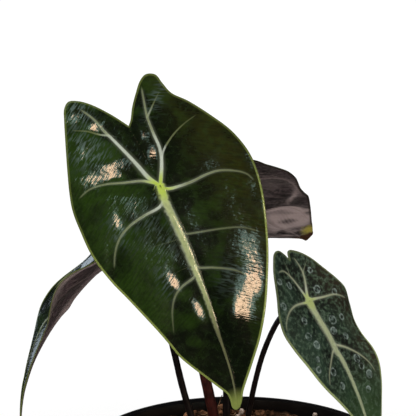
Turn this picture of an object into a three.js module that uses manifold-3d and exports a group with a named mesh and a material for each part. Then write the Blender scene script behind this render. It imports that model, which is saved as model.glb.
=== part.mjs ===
// A young Alocasia suhirmaniana in a black nursery pot.
// Millimetres, +Z up. The origin is the centre of the pot's underside, and the front of the plant faces -Y.
import * as THREE from "three";
import { mergeVertices } from "three/addons/utils/BufferGeometryUtils.js";
import Module from "manifold-3d";

const wasm = await Module();
wasm.setup();

// Driving dimensions.
const GAP = 0.3; // clearance between touching pieces

const POT = {
  height: 105,
  baseRadius: 41,
  rimRadius: 60,
  rimHeight: 9,
  rimOverhang: 2.4,
  wall: 1.7,
  floor: 2.2,
  segments: 48,
  drainHoles: 8,
  drainHoleRadius: 4,
  drainCircleRadius: 28,
};

const SOIL = {
  level: 99.3,
  lump: 0.78, // height of the waves of its top
  dip: 1.4, // depth of the hollow round the crown
  dipRadius: 17,
  rimDrop: 1.5, // how far its edge lies below its level
  ringRadii: [7, 14, 21, 28, 35, 42, 48, 53],
  segments: 44,
  chips: 52,
  chipLength: [4, 10],
  chipThickness: [1.6, 2.8],
  chipSpread: 50, // radius that the chips' centres lie in
  chipReach: 53, // farthest that a chip reaches from the pot's axis
  crownClear: 15,
  seed: 20260611,
};

const CROWN = { x: -5.6, y: 0, radius: 11.4, bottom: 80, top: 104, segments: 24 };
const SOCKET_FLOOR = 98.6; // the petioles' lower ends, sunk into the crown

// Each leaf hangs from its node, where the petiole meets the blade. heading turns from the front (-Y) to
// the right, tilt is the midrib's angle from straight down, and droop lessens the tilt on the way to the
// tip. Angles are in degrees, lengths along the midrib are positive to the tip and negative to the lobes.
const LEAVES = {
  front: {
    node: [-28.6, -38, 222.1],
    heading: 0,
    tilt: 30,
    droop: 26,
    slant: 26,
    bend: 10,
    hook: 18,
    fold: 10,
    curl: 18,
    length: 86.5,
    halfWidth: 34,
    petiole: {
      path: [
        [-4.5, -5, SOCKET_FLOOR], [-9.1, -6.5, 121.5], [-12.9, -10, 140.6],
        [-17.7, -16, 164.2], [-22.4, -24, 188.9],
      ],
      radii: [3.1, 2.05, 1.8],
    },
  },
  right: {
    node: [25.9, -25, 174],
    heading: 52,
    tilt: 37,
    droop: 26,
    lobeDroop: -41,
    slant: 6.7,
    bend: -2.2,
    fold: 11,
    curl: 24,
    length: 63,
    halfWidth: 22,
    waves: { right: [2.4, 37, -0.667] },
    petiole: {
      path: [
        [0.6, 0, SOCKET_FLOOR], [3.9, -1.5, 119.6], [6.5, -4, 134.3],
        [9.8, -9.5, 149], [15.2, -16, 163.6], [19.6, -19.5, 169.4],
      ],
      radii: [2.2, 1.15, 1.05],
    },
  },
  rear: {
    node: [-9.6, 34, 200],
    heading: 146,
    tilt: 59,
    droop: -2.2,
    roll: -29.5,
    fold: 4.4,
    curl: 20.8,
    length: 79.5,
    halfWidth: 29.8,
    petiole: {
      path: [
        [-4.2, 5, SOCKET_FLOOR], [-4.2, 6, 116.8], [-4.2, 7.5, 128.5],
        [-4.5, 11.5, 149.8], [-6, 19, 173.5],
      ],
      radii: [2.6, 1.45, 1.3],
    },
  },
  left: {
    node: [-38.4, -3, 193.4],
    heading: -91,
    tilt: 46.6,
    droop: 8,
    tipDroop: 40,
    lobeDroop: 50,
    bend: 3.8,
    roll: 10.4,
    twist: -14.2,
    tipTwist: -10.8,
    fold: 17.3,
    curl: 4.5,
    length: 94.2,
    halfWidth: 27,
    waves: { right: [3.3, 42, 0.56], left: [2.7, 42, 0.09] },
    petiole: {
      path: [
        [-12.1, 0, SOCKET_FLOOR], [-17.8, 0, 119], [-20.9, 0, 130.4],
        [-24.6, -0.5, 147.2], [-29.8, -1.5, 169.6],
      ],
      radii: [2.4, 1.4, 1.25],
    },
  },
};

const BLADE = {
  thickness: 0.9,
  marginThickness: 0.65,
  midribRise: 1.1,
  bossRise: 1.5,
  bossRadius: 3.2,
  aroundEachHalf: 26,
  rings: [0.09, 0.22, 0.4, 0.58, 0.75, 0.89, 1],
};
const PETIOLE = { sides: 10, steps: 14, sheathEnd: 0.16 };

// Half outlines in millimetres, from the tip round one half to the notch between the lobes, as
// [along the midrib, across it].
const FRONT_RIGHT_HALF = [
  [86.5, -0.6], [85.7, 0.5], [83.5, 1.3], [79.9, 2.2], [76.5, 3.9], [70, 8], [63, 12.8], [54.8, 17.6],
  [45.5, 22.1], [35, 26.7], [24.3, 30.4], [13, 33.5], [3, 34.3], [-6.5, 32.3], [-15, 28.3], [-23.5, 23.6],
  [-29, 19.8], [-34, 18.9], [-38.2, 18.4], [-39.9, 15.7], [-39, 13], [-35.3, 8.9], [-31.2, 5.1], [-26.9, 2],
  [-25.4, 0.2],
];
const FRONT_LEFT_HALF = [
  [86.5, -0.6], [85.9, -1.7], [83, -2.4], [80.3, -3.3], [77.2, -5.8], [71.3, -10.3], [65.2, -14.4],
  [60.8, -16.9], [55, -19], [49.7, -20.9], [40.9, -24.3], [34.1, -26.9], [23.9, -30.7], [13, -33],
  [3, -33.1], [-7, -32.2], [-19.2, -28], [-31.8, -22.6], [-39, -19.2], [-42.6, -17.2], [-44.4, -14.6],
  [-43.3, -12], [-39.8, -8.2], [-33, -3.7], [-25.4, 0.2],
];
const RIGHT_RIGHT_HALF = [
  [63, 0], [57.5, 3.8], [52, 8.2], [46, 12], [40.5, 14.6], [34, 16.4], [28, 17.2], [21.5, 17],
  [15.5, 18.2], [10, 21], [4.5, 21], [-1, 18], [-4.9, 16], [-8.7, 14.3], [-12.4, 12.5], [-14.9, 10.5],
  [-17.4, 7.6], [-19.1, 4.9], [-19.7, 3.5], [-19.6, 2.5], [-18.8, 2.05], [-17.5, 1.75], [-16.7, 1.5],
];
const RIGHT_LEFT_HALF = [
  [63, 0], [57, -3.2], [50.5, -6], [44.5, -8.3], [35, -13.2], [26.7, -17.2], [19.4, -19.3], [12, -21.2],
  [5, -21.6], [-1, -19.5], [-6.7, -15.8], [-13.4, -11.9], [-19.3, -8.1], [-21.3, -6.4], [-22, -4.6],
  [-21.6, -2.7], [-19.3, -0.2], [-17.7, 0.8], [-16.7, 1.5],
];
const REAR_RIGHT_HALF = [
  [79.3, 0.8], [77.2, 0.9], [75.4, 1.6], [72.2, 4.3], [69, 7], [64.5, 9.4], [58.8, 12.1], [50.6, 15.1],
  [41.9, 17.3], [32.2, 18.7], [22.5, 20.8], [11.9, 22.7], [2.8, 23.2], [-4.6, 22.2], [-9.9, 20.1],
  [-15.9, 17.3], [-21.9, 14], [-27.8, 11.8], [-28.4, 9.9], [-25.8, 6.5], [-21.2, 2.7], [-17.2, 0],
];
const REAR_LEFT_HALF = [
  [79.3, 0.8], [77.8, -2], [76.5, -3.8], [73.6, -5.3], [67.8, -8.2], [61.5, -11.1], [53, -15.3],
  [46.3, -18.4], [39.3, -21.6], [31.6, -24.4], [27, -25.5], [22.7, -26.4], [15.7, -28.7], [12.2, -29.7],
  [4.4, -30.2], [-2.1, -28.4], [-6.7, -26.5], [-10.6, -25.6], [-15.9, -22.2], [-21.9, -18],
  [-27.8, -15.1], [-28.4, -12.7], [-25.8, -8.3], [-21.2, -3.4], [-17.2, 0],
];
// The left leaf narrows to a long drip tip, its right half sooner than its left.
const LEFT_RIGHT_HALF = [
  [94.2, 0], [89.9, 0.3], [84.8, 0.7], [78.4, 1.1], [69.7, 1.7], [62.5, 2.6], [57, 4.6], [52, 8.8],
  [46, 15], [38.2, 20.3], [26.7, 24.2], [14.1, 26.4], [3.3, 27], [-4.7, 25.8], [-10.1, 23.4],
  [-16.2, 20.1], [-22.3, 16.3], [-28.4, 13.7], [-29, 11.5], [-26.3, 7.6], [-21.6, 3.1], [-17.5, 0],
];
const LEFT_LEFT_HALF = [
  [94.2, 0], [89.9, -0.4], [84.8, -1.1], [78.4, -2], [69.7, -4.6], [59.9, -9.8], [49.6, -16.9],
  [38.2, -21.3], [26.7, -24.2], [14.1, -26.4], [3.3, -27], [-4.7, -25.8], [-10.1, -23.4],
  [-16.2, -20.1], [-22.3, -16.3], [-28.4, -13.7], [-29, -11.5], [-26.3, -7.6], [-21.6, -3.1], [-17.5, 0],
];

const OUTLINES = {
  front: [FRONT_RIGHT_HALF, FRONT_LEFT_HALF],
  right: [RIGHT_RIGHT_HALF, RIGHT_LEFT_HALF],
  rear: [REAR_RIGHT_HALF, REAR_LEFT_HALF],
  left: [LEFT_RIGHT_HALF, LEFT_LEFT_HALF],
};

const MATERIALS = {
  pot: paint("#1c1b1c", 0.45),
  soil: paint("#4f3d31", 0.95),
  crown: paint("#3a2d20", 0.7),
  redPetiole: paint("#21100f", 0.4),
  darkPetiole: paint("#120e0d", 0.4),
  glossyBlade: paint("#19240f", 0.25),
  matteBlade: paint("#2f3a2d", 0.55),
};

function paint(colour, roughness) {
  return new THREE.MeshStandardMaterial({ color: colour, roughness, metalness: 0 });
}

function clamp01(x) {
  return Math.min(1, Math.max(0, x));
}

function radians(degrees) {
  return (degrees * Math.PI) / 180;
}

// A number from 0 to 1 at each call, the same series for the same seed.
function seededRandom(seed) {
  let state = seed >>> 0;
  return () => {
    state = (Math.imul(state, 1664525) + 1013904223) >>> 0;
    return state / 4294967296;
  };
}

// Solids.

function solidOf(geometry) {
  const bare = geometry.clone();
  bare.deleteAttribute("normal");
  bare.deleteAttribute("uv");
  const merged = mergeVertices(bare, 1e-4);
  return new wasm.Manifold(
    new wasm.Mesh({
      numProp: 3,
      vertProperties: new Float32Array(merged.attributes.position.array),
      triVerts: new Uint32Array(merged.index.array),
    }),
  );
}

function geometryOf(solid) {
  const mesh = solid.getMesh();
  const geometry = new THREE.BufferGeometry();
  geometry.setAttribute("position", new THREE.BufferAttribute(new Float32Array(mesh.vertProperties), 3));
  geometry.setIndex(new THREE.BufferAttribute(new Uint32Array(mesh.triVerts), 1));
  return geometry;
}

function indexedGeometry(points, triangles) {
  const coordinates = points.flatMap((p) => [p.x, p.y, p.z]);
  const geometry = new THREE.BufferGeometry();
  geometry.setAttribute("position", new THREE.Float32BufferAttribute(coordinates, 3));
  geometry.setIndex(triangles);
  return geometry;
}

function named(name, geometry, material) {
  const shown = geometry.toNonIndexed();
  shown.computeVertexNormals();
  const mesh = new THREE.Mesh(shown, material);
  mesh.name = name;
  return mesh;
}

// A body turned about the Z axis from (radius, height) points that start and end on the axis.
function turned(profile, segments) {
  const lathe = new THREE.LatheGeometry(profile.map(([r, z]) => new THREE.Vector2(r, z)), segments);
  return lathe.rotateX(Math.PI / 2);
}

// A closed tube with round section along the curve, whose radius is radiusAt(0..1). endPlane, if given,
// cuts its upper end by a plane: { point, normal }.
function sweptTube(curve, radiusAt, sides, steps, endPlane) {
  const frames = curve.computeFrenetFrames(steps, false);
  const points = [];
  for (let i = 0; i <= steps; i++) {
    const centre = curve.getPointAt(i / steps);
    for (let k = 0; k < sides; k++) {
      const angle = (k / sides) * Math.PI * 2;
      const point = centre.clone();
      point.addScaledVector(frames.normals[i], Math.cos(angle) * radiusAt(i / steps));
      point.addScaledVector(frames.binormals[i], Math.sin(angle) * radiusAt(i / steps));
      if (endPlane && i === steps) {
        const along = frames.tangents[i];
        const reach = endPlane.point.clone().sub(point).dot(endPlane.normal) / along.dot(endPlane.normal);
        point.addScaledVector(along, reach);
      }
      points.push(point);
    }
  }
  const triangles = [];
  for (let i = 0; i < steps; i++) {
    for (let k = 0; k < sides; k++) {
      const a = i * sides + k;
      const b = i * sides + ((k + 1) % sides);
      triangles.push(a, b, b + sides, a, b + sides, a + sides);
    }
  }
  const top = steps * sides;
  for (let k = 1; k < sides - 1; k++) {
    triangles.push(0, k + 1, k);
    triangles.push(top, top + k, top + k + 1);
  }
  return indexedGeometry(points, triangles);
}

// Pot, potting mix and crown.

function innerWallRadius(z) {
  const share = (z - POT.floor) / (POT.height - POT.floor);
  const top = POT.rimRadius - POT.rimOverhang - POT.wall;
  const bottom = POT.baseRadius - POT.wall;
  return bottom + (top - bottom) * share;
}

function potGeometry() {
  const { height, baseRadius, rimRadius, rimHeight, rimOverhang, floor, segments } = POT;
  const bodyTop = height - rimHeight;
  const bodyRadius = rimRadius - rimOverhang;
  const profile = [
    [0, 0],
    [baseRadius - 1, 0],
    [baseRadius, 1],
    [bodyRadius, bodyTop],
    [rimRadius - 0.4, bodyTop + 0.6],
    [rimRadius, bodyTop + 1.4],
    [rimRadius, height - 1],
    [rimRadius - 0.9, height],
    [innerWallRadius(height) + 0.5, height],
    [innerWallRadius(height - 0.6), height - 0.6],
    [innerWallRadius(floor), floor],
    [0, floor],
  ];
  let pot = solidOf(turned(profile, segments));
  for (let i = 0; i < POT.drainHoles; i++) {
    const angle = (i / POT.drainHoles) * Math.PI * 2;
    const drill = new THREE.CylinderGeometry(POT.drainHoleRadius, POT.drainHoleRadius, 3 * floor, 12);
    drill.rotateX(Math.PI / 2);
    drill.translate(POT.drainCircleRadius, 0, floor / 2);
    drill.rotateZ(angle);
    pot = pot.subtract(solidOf(drill));
  }
  return geometryOf(pot);
}

// The crown's outline, grown by extra on every side.
function crownGeometry(extra) {
  const { radius, bottom, top, segments } = CROWN;
  const profile = [
    [0, bottom - extra],
    [radius * 0.6 + extra, bottom - extra],
    [radius * 0.93 + extra, bottom + 6],
    [radius + extra, bottom + 13],
    [radius * 0.98 + extra, top - 5.5],
    [radius * 0.8 + extra, top - 2 + extra],
    [radius * 0.45 + extra, top - 0.4 + extra],
    [0, top + extra],
  ];
  return turned(profile, segments).translate(CROWN.x, CROWN.y, 0);
}

function soilHeight(x, y) {
  const fromCrown = Math.hypot(x - CROWN.x, y - CROWN.y);
  const dip = SOIL.dip * Math.exp(-((fromCrown / SOIL.dipRadius) ** 2));
  const waves = Math.sin(x * 0.21 + 1.3) * Math.cos(y * 0.17) + 0.8 * Math.sin(x * 0.37 - y * 0.43 + 0.6);
  return SOIL.level + SOIL.lump * waves - dip;
}

// A plug with a lumpy top, a little smaller than the pot's inside.
function soilPlug() {
  const around = SOIL.segments;
  const bottom = POT.floor + GAP;
  const edge = SOIL.level - SOIL.rimDrop;
  const points = [new THREE.Vector3(0, 0, soilHeight(0, 0))];
  const ring = (radius, heightAt) => {
    for (let k = 0; k < around; k++) {
      const angle = (k / around) * Math.PI * 2;
      const x = radius * Math.cos(angle);
      const y = radius * Math.sin(angle);
      points.push(new THREE.Vector3(x, y, heightAt(x, y)));
    }
  };
  for (const radius of SOIL.ringRadii) ring(radius, soilHeight);
  ring(innerWallRadius(edge) - GAP, () => edge);
  ring(innerWallRadius(bottom) - GAP, () => bottom);
  points.push(new THREE.Vector3(0, 0, bottom));
  const rings = SOIL.ringRadii.length + 2;
  const last = points.length - 1;
  const triangles = [];
  for (let k = 0; k < around; k++) {
    const next = (k + 1) % around;
    triangles.push(0, 1 + k, 1 + next);
    for (let i = 0; i < rings - 1; i++) {
      const a = 1 + i * around + k;
      const b = 1 + i * around + next;
      triangles.push(a, a + around, b + around, a, b + around, b);
    }
    triangles.push(last, 1 + (rings - 1) * around + next, 1 + (rings - 1) * around + k);
  }
  return indexedGeometry(points, triangles);
}

// One piece of bark: a box with its corners moved a little.
function barkChip(random, length) {
  const width = length * (0.35 + 0.3 * random());
  const [thin, thick] = SOIL.chipThickness;
  const chip = new THREE.BoxGeometry(length, width, thin + (thick - thin) * random());
  chip.deleteAttribute("normal");
  chip.deleteAttribute("uv");
  const merged = mergeVertices(chip);
  const position = merged.attributes.position;
  for (let i = 0; i < position.count; i++) {
    position.setXYZ(
      i,
      position.getX(i) * (0.8 + 0.4 * random()),
      position.getY(i) * (0.7 + 0.6 * random()),
      position.getZ(i) * (0.8 + 0.4 * random()),
    );
  }
  return merged;
}

function pottingMixGeometry() {
  const random = seededRandom(SOIL.seed);
  let mix = solidOf(soilPlug());
  for (let placed = 0; placed < SOIL.chips; ) {
    const radius = SOIL.chipSpread * Math.sqrt(random());
    const angle = random() * Math.PI * 2;
    const x = radius * Math.cos(angle);
    const y = radius * Math.sin(angle);
    if (Math.hypot(x - CROWN.x, y - CROWN.y) < SOIL.crownClear) continue;
    const [short, long] = SOIL.chipLength;
    const length = short + (long - short) * random() ** 2;
    if (radius + length / 2 > SOIL.chipReach) continue;
    const chip = barkChip(random, length);
    chip.rotateX((random() - 0.5) * 0.9);
    chip.rotateY((random() - 0.5) * 0.7);
    chip.rotateZ(random() * Math.PI * 2);
    chip.translate(x, y, soilHeight(x, y) + 0.1);
    mix = mix.add(solidOf(chip));
    placed += 1;
  }
  return geometryOf(mix.subtract(solidOf(crownGeometry(GAP))));
}

// Leaf blades.

// The midrib as a bending ribbon: frameAt(s) gives its centre, the direction across to the right half, and
// the upper face's normal, at s millimetres from the node.
function midribOf(leaf) {
  const step = 0.5;
  const back = Math.ceil((leaf.length * 0.7) / step);
  const count = back + Math.ceil((leaf.length * 1.1) / step);
  const outward = new THREE.Vector3(Math.sin(radians(leaf.heading)), -Math.cos(radians(leaf.heading)), 0);
  const upward = new THREE.Vector3(0, 0, 1);
  const sideways = new THREE.Vector3().crossVectors(upward, outward);
  const frames = [];
  const centre = new THREE.Vector3();
  for (let i = 0; i <= count; i++) {
    const share = ((i - back) * step) / leaf.length;
    const ahead = Math.max(share, 0);
    const droop = share > 0 ? leaf.droop : (leaf.lobeDroop ?? leaf.droop);
    const tilt = radians(leaf.tilt - droop * share - (leaf.tipDroop ?? 0) * ahead ** 2);
    const hook = (leaf.hook ?? 0) * Math.min(ahead, 1.05) ** 8;
    const slant = radians((leaf.slant ?? 0) - (leaf.bend ?? 0) * share - hook);
    const roll = radians((leaf.roll ?? 0) + (leaf.twist ?? 0) * ahead + (leaf.tipTwist ?? 0) * ahead ** 2);
    const hang = outward.clone().multiplyScalar(Math.sin(tilt)).addScaledVector(upward, -Math.cos(tilt));
    const face = outward.clone().multiplyScalar(Math.cos(tilt)).addScaledVector(upward, Math.sin(tilt));
    const along = hang.clone().multiplyScalar(Math.cos(slant)).addScaledVector(sideways, Math.sin(slant));
    const across = sideways.clone().multiplyScalar(Math.cos(slant)).addScaledVector(hang, -Math.sin(slant));
    const rolled = across.clone().multiplyScalar(Math.cos(roll)).addScaledVector(face, Math.sin(roll));
    const normal = face.clone().multiplyScalar(Math.cos(roll)).addScaledVector(across, -Math.sin(roll));
    if (i > 0) centre.addScaledVector(along.clone().add(frames[i - 1].along), step / 2);
    frames.push({ centre: centre.clone(), along, across: rolled, normal });
  }
  const shift = new THREE.Vector3(...leaf.node).sub(frames[back].centre);
  for (const frame of frames) frame.centre.add(shift);
  return (s) => {
    const place = Math.min(Math.max(s / step + back, 0), count - 1e-6);
    const low = Math.floor(place);
    const [a, b] = [frames[low], frames[low + 1]];
    const mixed = (key) => a[key].clone().lerp(b[key], place - low);
    return { centre: mixed("centre"), across: mixed("across"), normal: mixed("normal") };
  };
}

// The upper face at s along the midrib and t across: the two halves rise from the midrib as a shallow V,
// bend down again towards the margins, and the margins wave.
function bladePoint(leaf, frameAt, s, t) {
  const frame = frameAt(s);
  const share = Math.abs(t) / leaf.halfWidth;
  const fold = radians(leaf.fold);
  const curl = radians(leaf.curl);
  const slope = fold - curl * share;
  const out = (leaf.halfWidth * (Math.sin(fold) - Math.sin(slope))) / curl;
  let rise = (leaf.halfWidth * (Math.cos(slope) - Math.cos(fold))) / curl;
  const wave = leaf.waves?.[t < 0 ? "left" : "right"];
  if (wave) rise += wave[0] * Math.sin(2 * Math.PI * (s / wave[1] + wave[2])) * share ** 2;
  return frame.centre.addScaledVector(frame.across, Math.sign(t) * out).addScaledVector(frame.normal, rise);
}

// The whole margin as [along, across] points: tip, right half, notch, left half, evenly spaced in each.
function marginOf([rightHalf, leftHalf]) {
  const spaced = (half) => {
    const points = half.map(([s, t]) => new THREE.Vector3(s, t, 0));
    const curve = new THREE.CatmullRomCurve3(points, false, "centripetal");
    return curve.getSpacedPoints(BLADE.aroundEachHalf).map((p) => [p.x, p.y]);
  };
  return [...spaced(rightHalf), ...spaced(leftHalf).reverse().slice(1, -1)];
}

// The blade's thickness: a boss at the node, a midrib that thins to the tip, and a thin margin.
function bladeThickness(leaf, s, t, ring) {
  const boss = BLADE.bossRise * Math.exp(-((Math.hypot(s, t) / BLADE.bossRadius) ** 2));
  const onMidrib = s > 0 && Math.abs(t) < 0.4 && ring < 1;
  const midrib = onMidrib ? BLADE.midribRise * (1 - s / leaf.length) : 0;
  const body = BLADE.thickness + (BLADE.marginThickness - BLADE.thickness) * clamp01((ring - 0.75) / 0.25);
  return body + Math.max(boss, midrib);
}

// Rings of the margin's shape shrink to the node, on the upper face and, a thickness below, on the lower.
function bladeGeometry(leaf, outline) {
  const frameAt = midribOf(leaf);
  const margin = marginOf(outline);
  const around = margin.length;
  const probe = 0.5;
  const upper = [];
  const lower = [];
  const add = (s, t, ring) => {
    const point = bladePoint(leaf, frameAt, s, t);
    const alongStep = bladePoint(leaf, frameAt, s + probe, t).sub(bladePoint(leaf, frameAt, s - probe, t));
    const side = t < 0 ? -1 : 1;
    const acrossStep = bladePoint(leaf, frameAt, s, t + side * probe).sub(point).multiplyScalar(side);
    const onFold = Math.abs(t) < 1e-6;
    const normal = onFold ? frameAt(s).normal : acrossStep.cross(alongStep).negate().normalize();
    if (normal.dot(frameAt(s).normal) < 0) normal.negate();
    upper.push(point);
    lower.push(point.clone().addScaledVector(normal, -bladeThickness(leaf, s, t, ring)));
  };
  add(0, 0, 0);
  for (const ring of BLADE.rings) for (const [s, t] of margin) add(s * ring, t * ring, ring);
  const rings = BLADE.rings.length;
  const shift = upper.length;
  const triangles = [];
  const face = (a, b, c) => triangles.push(a, b, c, shift + a, shift + c, shift + b);
  for (let k = 0; k < around; k++) {
    const next = (k + 1) % around;
    face(0, 1 + k, 1 + next);
    for (let i = 0; i < rings - 1; i++) {
      const a = 1 + i * around + k;
      const b = 1 + i * around + next;
      face(a, a + around, b + around);
      face(a, b + around, b);
    }
    const rim = 1 + (rings - 1) * around;
    triangles.push(rim + k, shift + rim + k, shift + rim + next, rim + k, shift + rim + next, rim + next);
  }
  return indexedGeometry([...upper, ...lower], triangles);
}

// Petioles.

function petioleCurve(leaf) {
  const points = [...leaf.petiole.path, leaf.node].map((p) => new THREE.Vector3(...p));
  return new THREE.CatmullRomCurve3(points, false, "centripetal");
}

// Wide at the sheathed base, then slim, and a little slimmer still under the blade.
function petioleRadius(leaf, extra) {
  const [base, middle, top] = leaf.petiole.radii;
  return (share) => {
    const fromSheath = clamp01(share / PETIOLE.sheathEnd);
    const sheath = base + (middle - base) * fromSheath * (2 - fromSheath);
    return (share < PETIOLE.sheathEnd ? sheath : middle + (top - middle) * share) + extra;
  };
}

// The petiole ends flat against the boss under its blade, a gap away.
function petioleGeometry(leaf) {
  const { centre, normal } = midribOf(leaf)(0);
  const boss = BLADE.thickness + BLADE.bossRise;
  const endPlane = { point: centre.clone().addScaledVector(normal, -(boss + GAP)), normal };
  return sweptTube(petioleCurve(leaf), petioleRadius(leaf, 0), PETIOLE.sides, PETIOLE.steps, endPlane);
}

// The lowest stretch of a petiole grown by the gap, which cuts its socket in the crown.
function socketCutter(leaf) {
  const [low, high] = leaf.petiole.path.map((p) => new THREE.Vector3(...p));
  const along = petioleCurve(leaf).getTangentAt(0);
  const line = new THREE.LineCurve3(low.clone().addScaledVector(along, -GAP), low.clone().lerp(high, 0.45));
  const radius = leaf.petiole.radii[0] + GAP;
  return sweptTube(line, () => radius, PETIOLE.sides, 1);
}

function crownWithSockets() {
  let crown = solidOf(crownGeometry(0));
  for (const leaf of Object.values(LEAVES)) crown = crown.subtract(solidOf(socketCutter(leaf)));
  return geometryOf(crown);
}

const plant = new THREE.Group();
plant.add(named("pot", potGeometry(), MATERIALS.pot));
plant.add(named("potting_mix", pottingMixGeometry(), MATERIALS.soil));
plant.add(named("crown", crownWithSockets(), MATERIALS.crown));
for (const [side, leaf] of Object.entries(LEAVES)) {
  const petioleMaterial = side === "front" ? MATERIALS.redPetiole : MATERIALS.darkPetiole;
  const bladeMaterial = side === "right" ? MATERIALS.matteBlade : MATERIALS.glossyBlade;
  plant.add(named(`${side}_leaf_petiole`, petioleGeometry(leaf), petioleMaterial));
  plant.add(named(`${side}_leaf_blade`, bladeGeometry(leaf, OUTLINES[side]), bladeMaterial));
}

export default plant;
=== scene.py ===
"""Looks of a young Alocasia suhirmaniana in a black nursery pot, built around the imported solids.

Shapes are worked out in millimetres and stored in metres. +Z is up and the plant's front faces -Y.
"""

import math

import bpy
import numpy as np
from bpy.props import FloatProperty, FloatVectorProperty, IntProperty, PointerProperty
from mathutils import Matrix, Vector


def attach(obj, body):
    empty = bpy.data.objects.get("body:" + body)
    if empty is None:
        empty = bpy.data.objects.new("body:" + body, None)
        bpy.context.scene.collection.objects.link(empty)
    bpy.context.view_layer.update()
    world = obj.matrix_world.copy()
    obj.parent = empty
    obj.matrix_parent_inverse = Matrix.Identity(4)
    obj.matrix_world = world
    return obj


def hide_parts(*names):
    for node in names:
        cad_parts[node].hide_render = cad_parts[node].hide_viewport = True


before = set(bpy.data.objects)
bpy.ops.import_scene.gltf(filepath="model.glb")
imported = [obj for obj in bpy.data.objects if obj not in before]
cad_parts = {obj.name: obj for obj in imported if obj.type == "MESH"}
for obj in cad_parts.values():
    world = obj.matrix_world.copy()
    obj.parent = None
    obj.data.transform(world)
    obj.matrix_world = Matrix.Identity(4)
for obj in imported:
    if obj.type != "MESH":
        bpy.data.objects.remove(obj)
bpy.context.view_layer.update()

bl_info = {
    "name": "Potted alocasia",
    "version": (1, 0, 0),
    "blender": (4, 5, 0),
    "location": "View3D > Sidebar > Plant",
    "description": "Arrow-leaved house plant in a nursery pot, with its stage",
    "category": "Add Mesh",
}

MM = 0.001

# The pot and its mix, in millimetres.
POT_HEIGHT = 105.0
POT_BASE_RADIUS = 41.0
POT_RIM_RADIUS = 60.0
POT_RIM_HEIGHT = 9.0
POT_RIM_OVERHANG = 2.4
POT_WALL = 1.7
POT_FLOOR = 2.2
DRAIN_HOLES = 8
DRAIN_RADIUS = 4.0
DRAIN_CIRCLE = 28.0
SOIL_LEVEL = 99.3
CROWN_X = -5.6
CROWN_RADIUS = 11.4
CROWN_BOTTOM = 80.0
CROWN_TOP = 104.0
SOCKET_FLOOR = 98.6
MIX_SEED = 20260611

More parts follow.
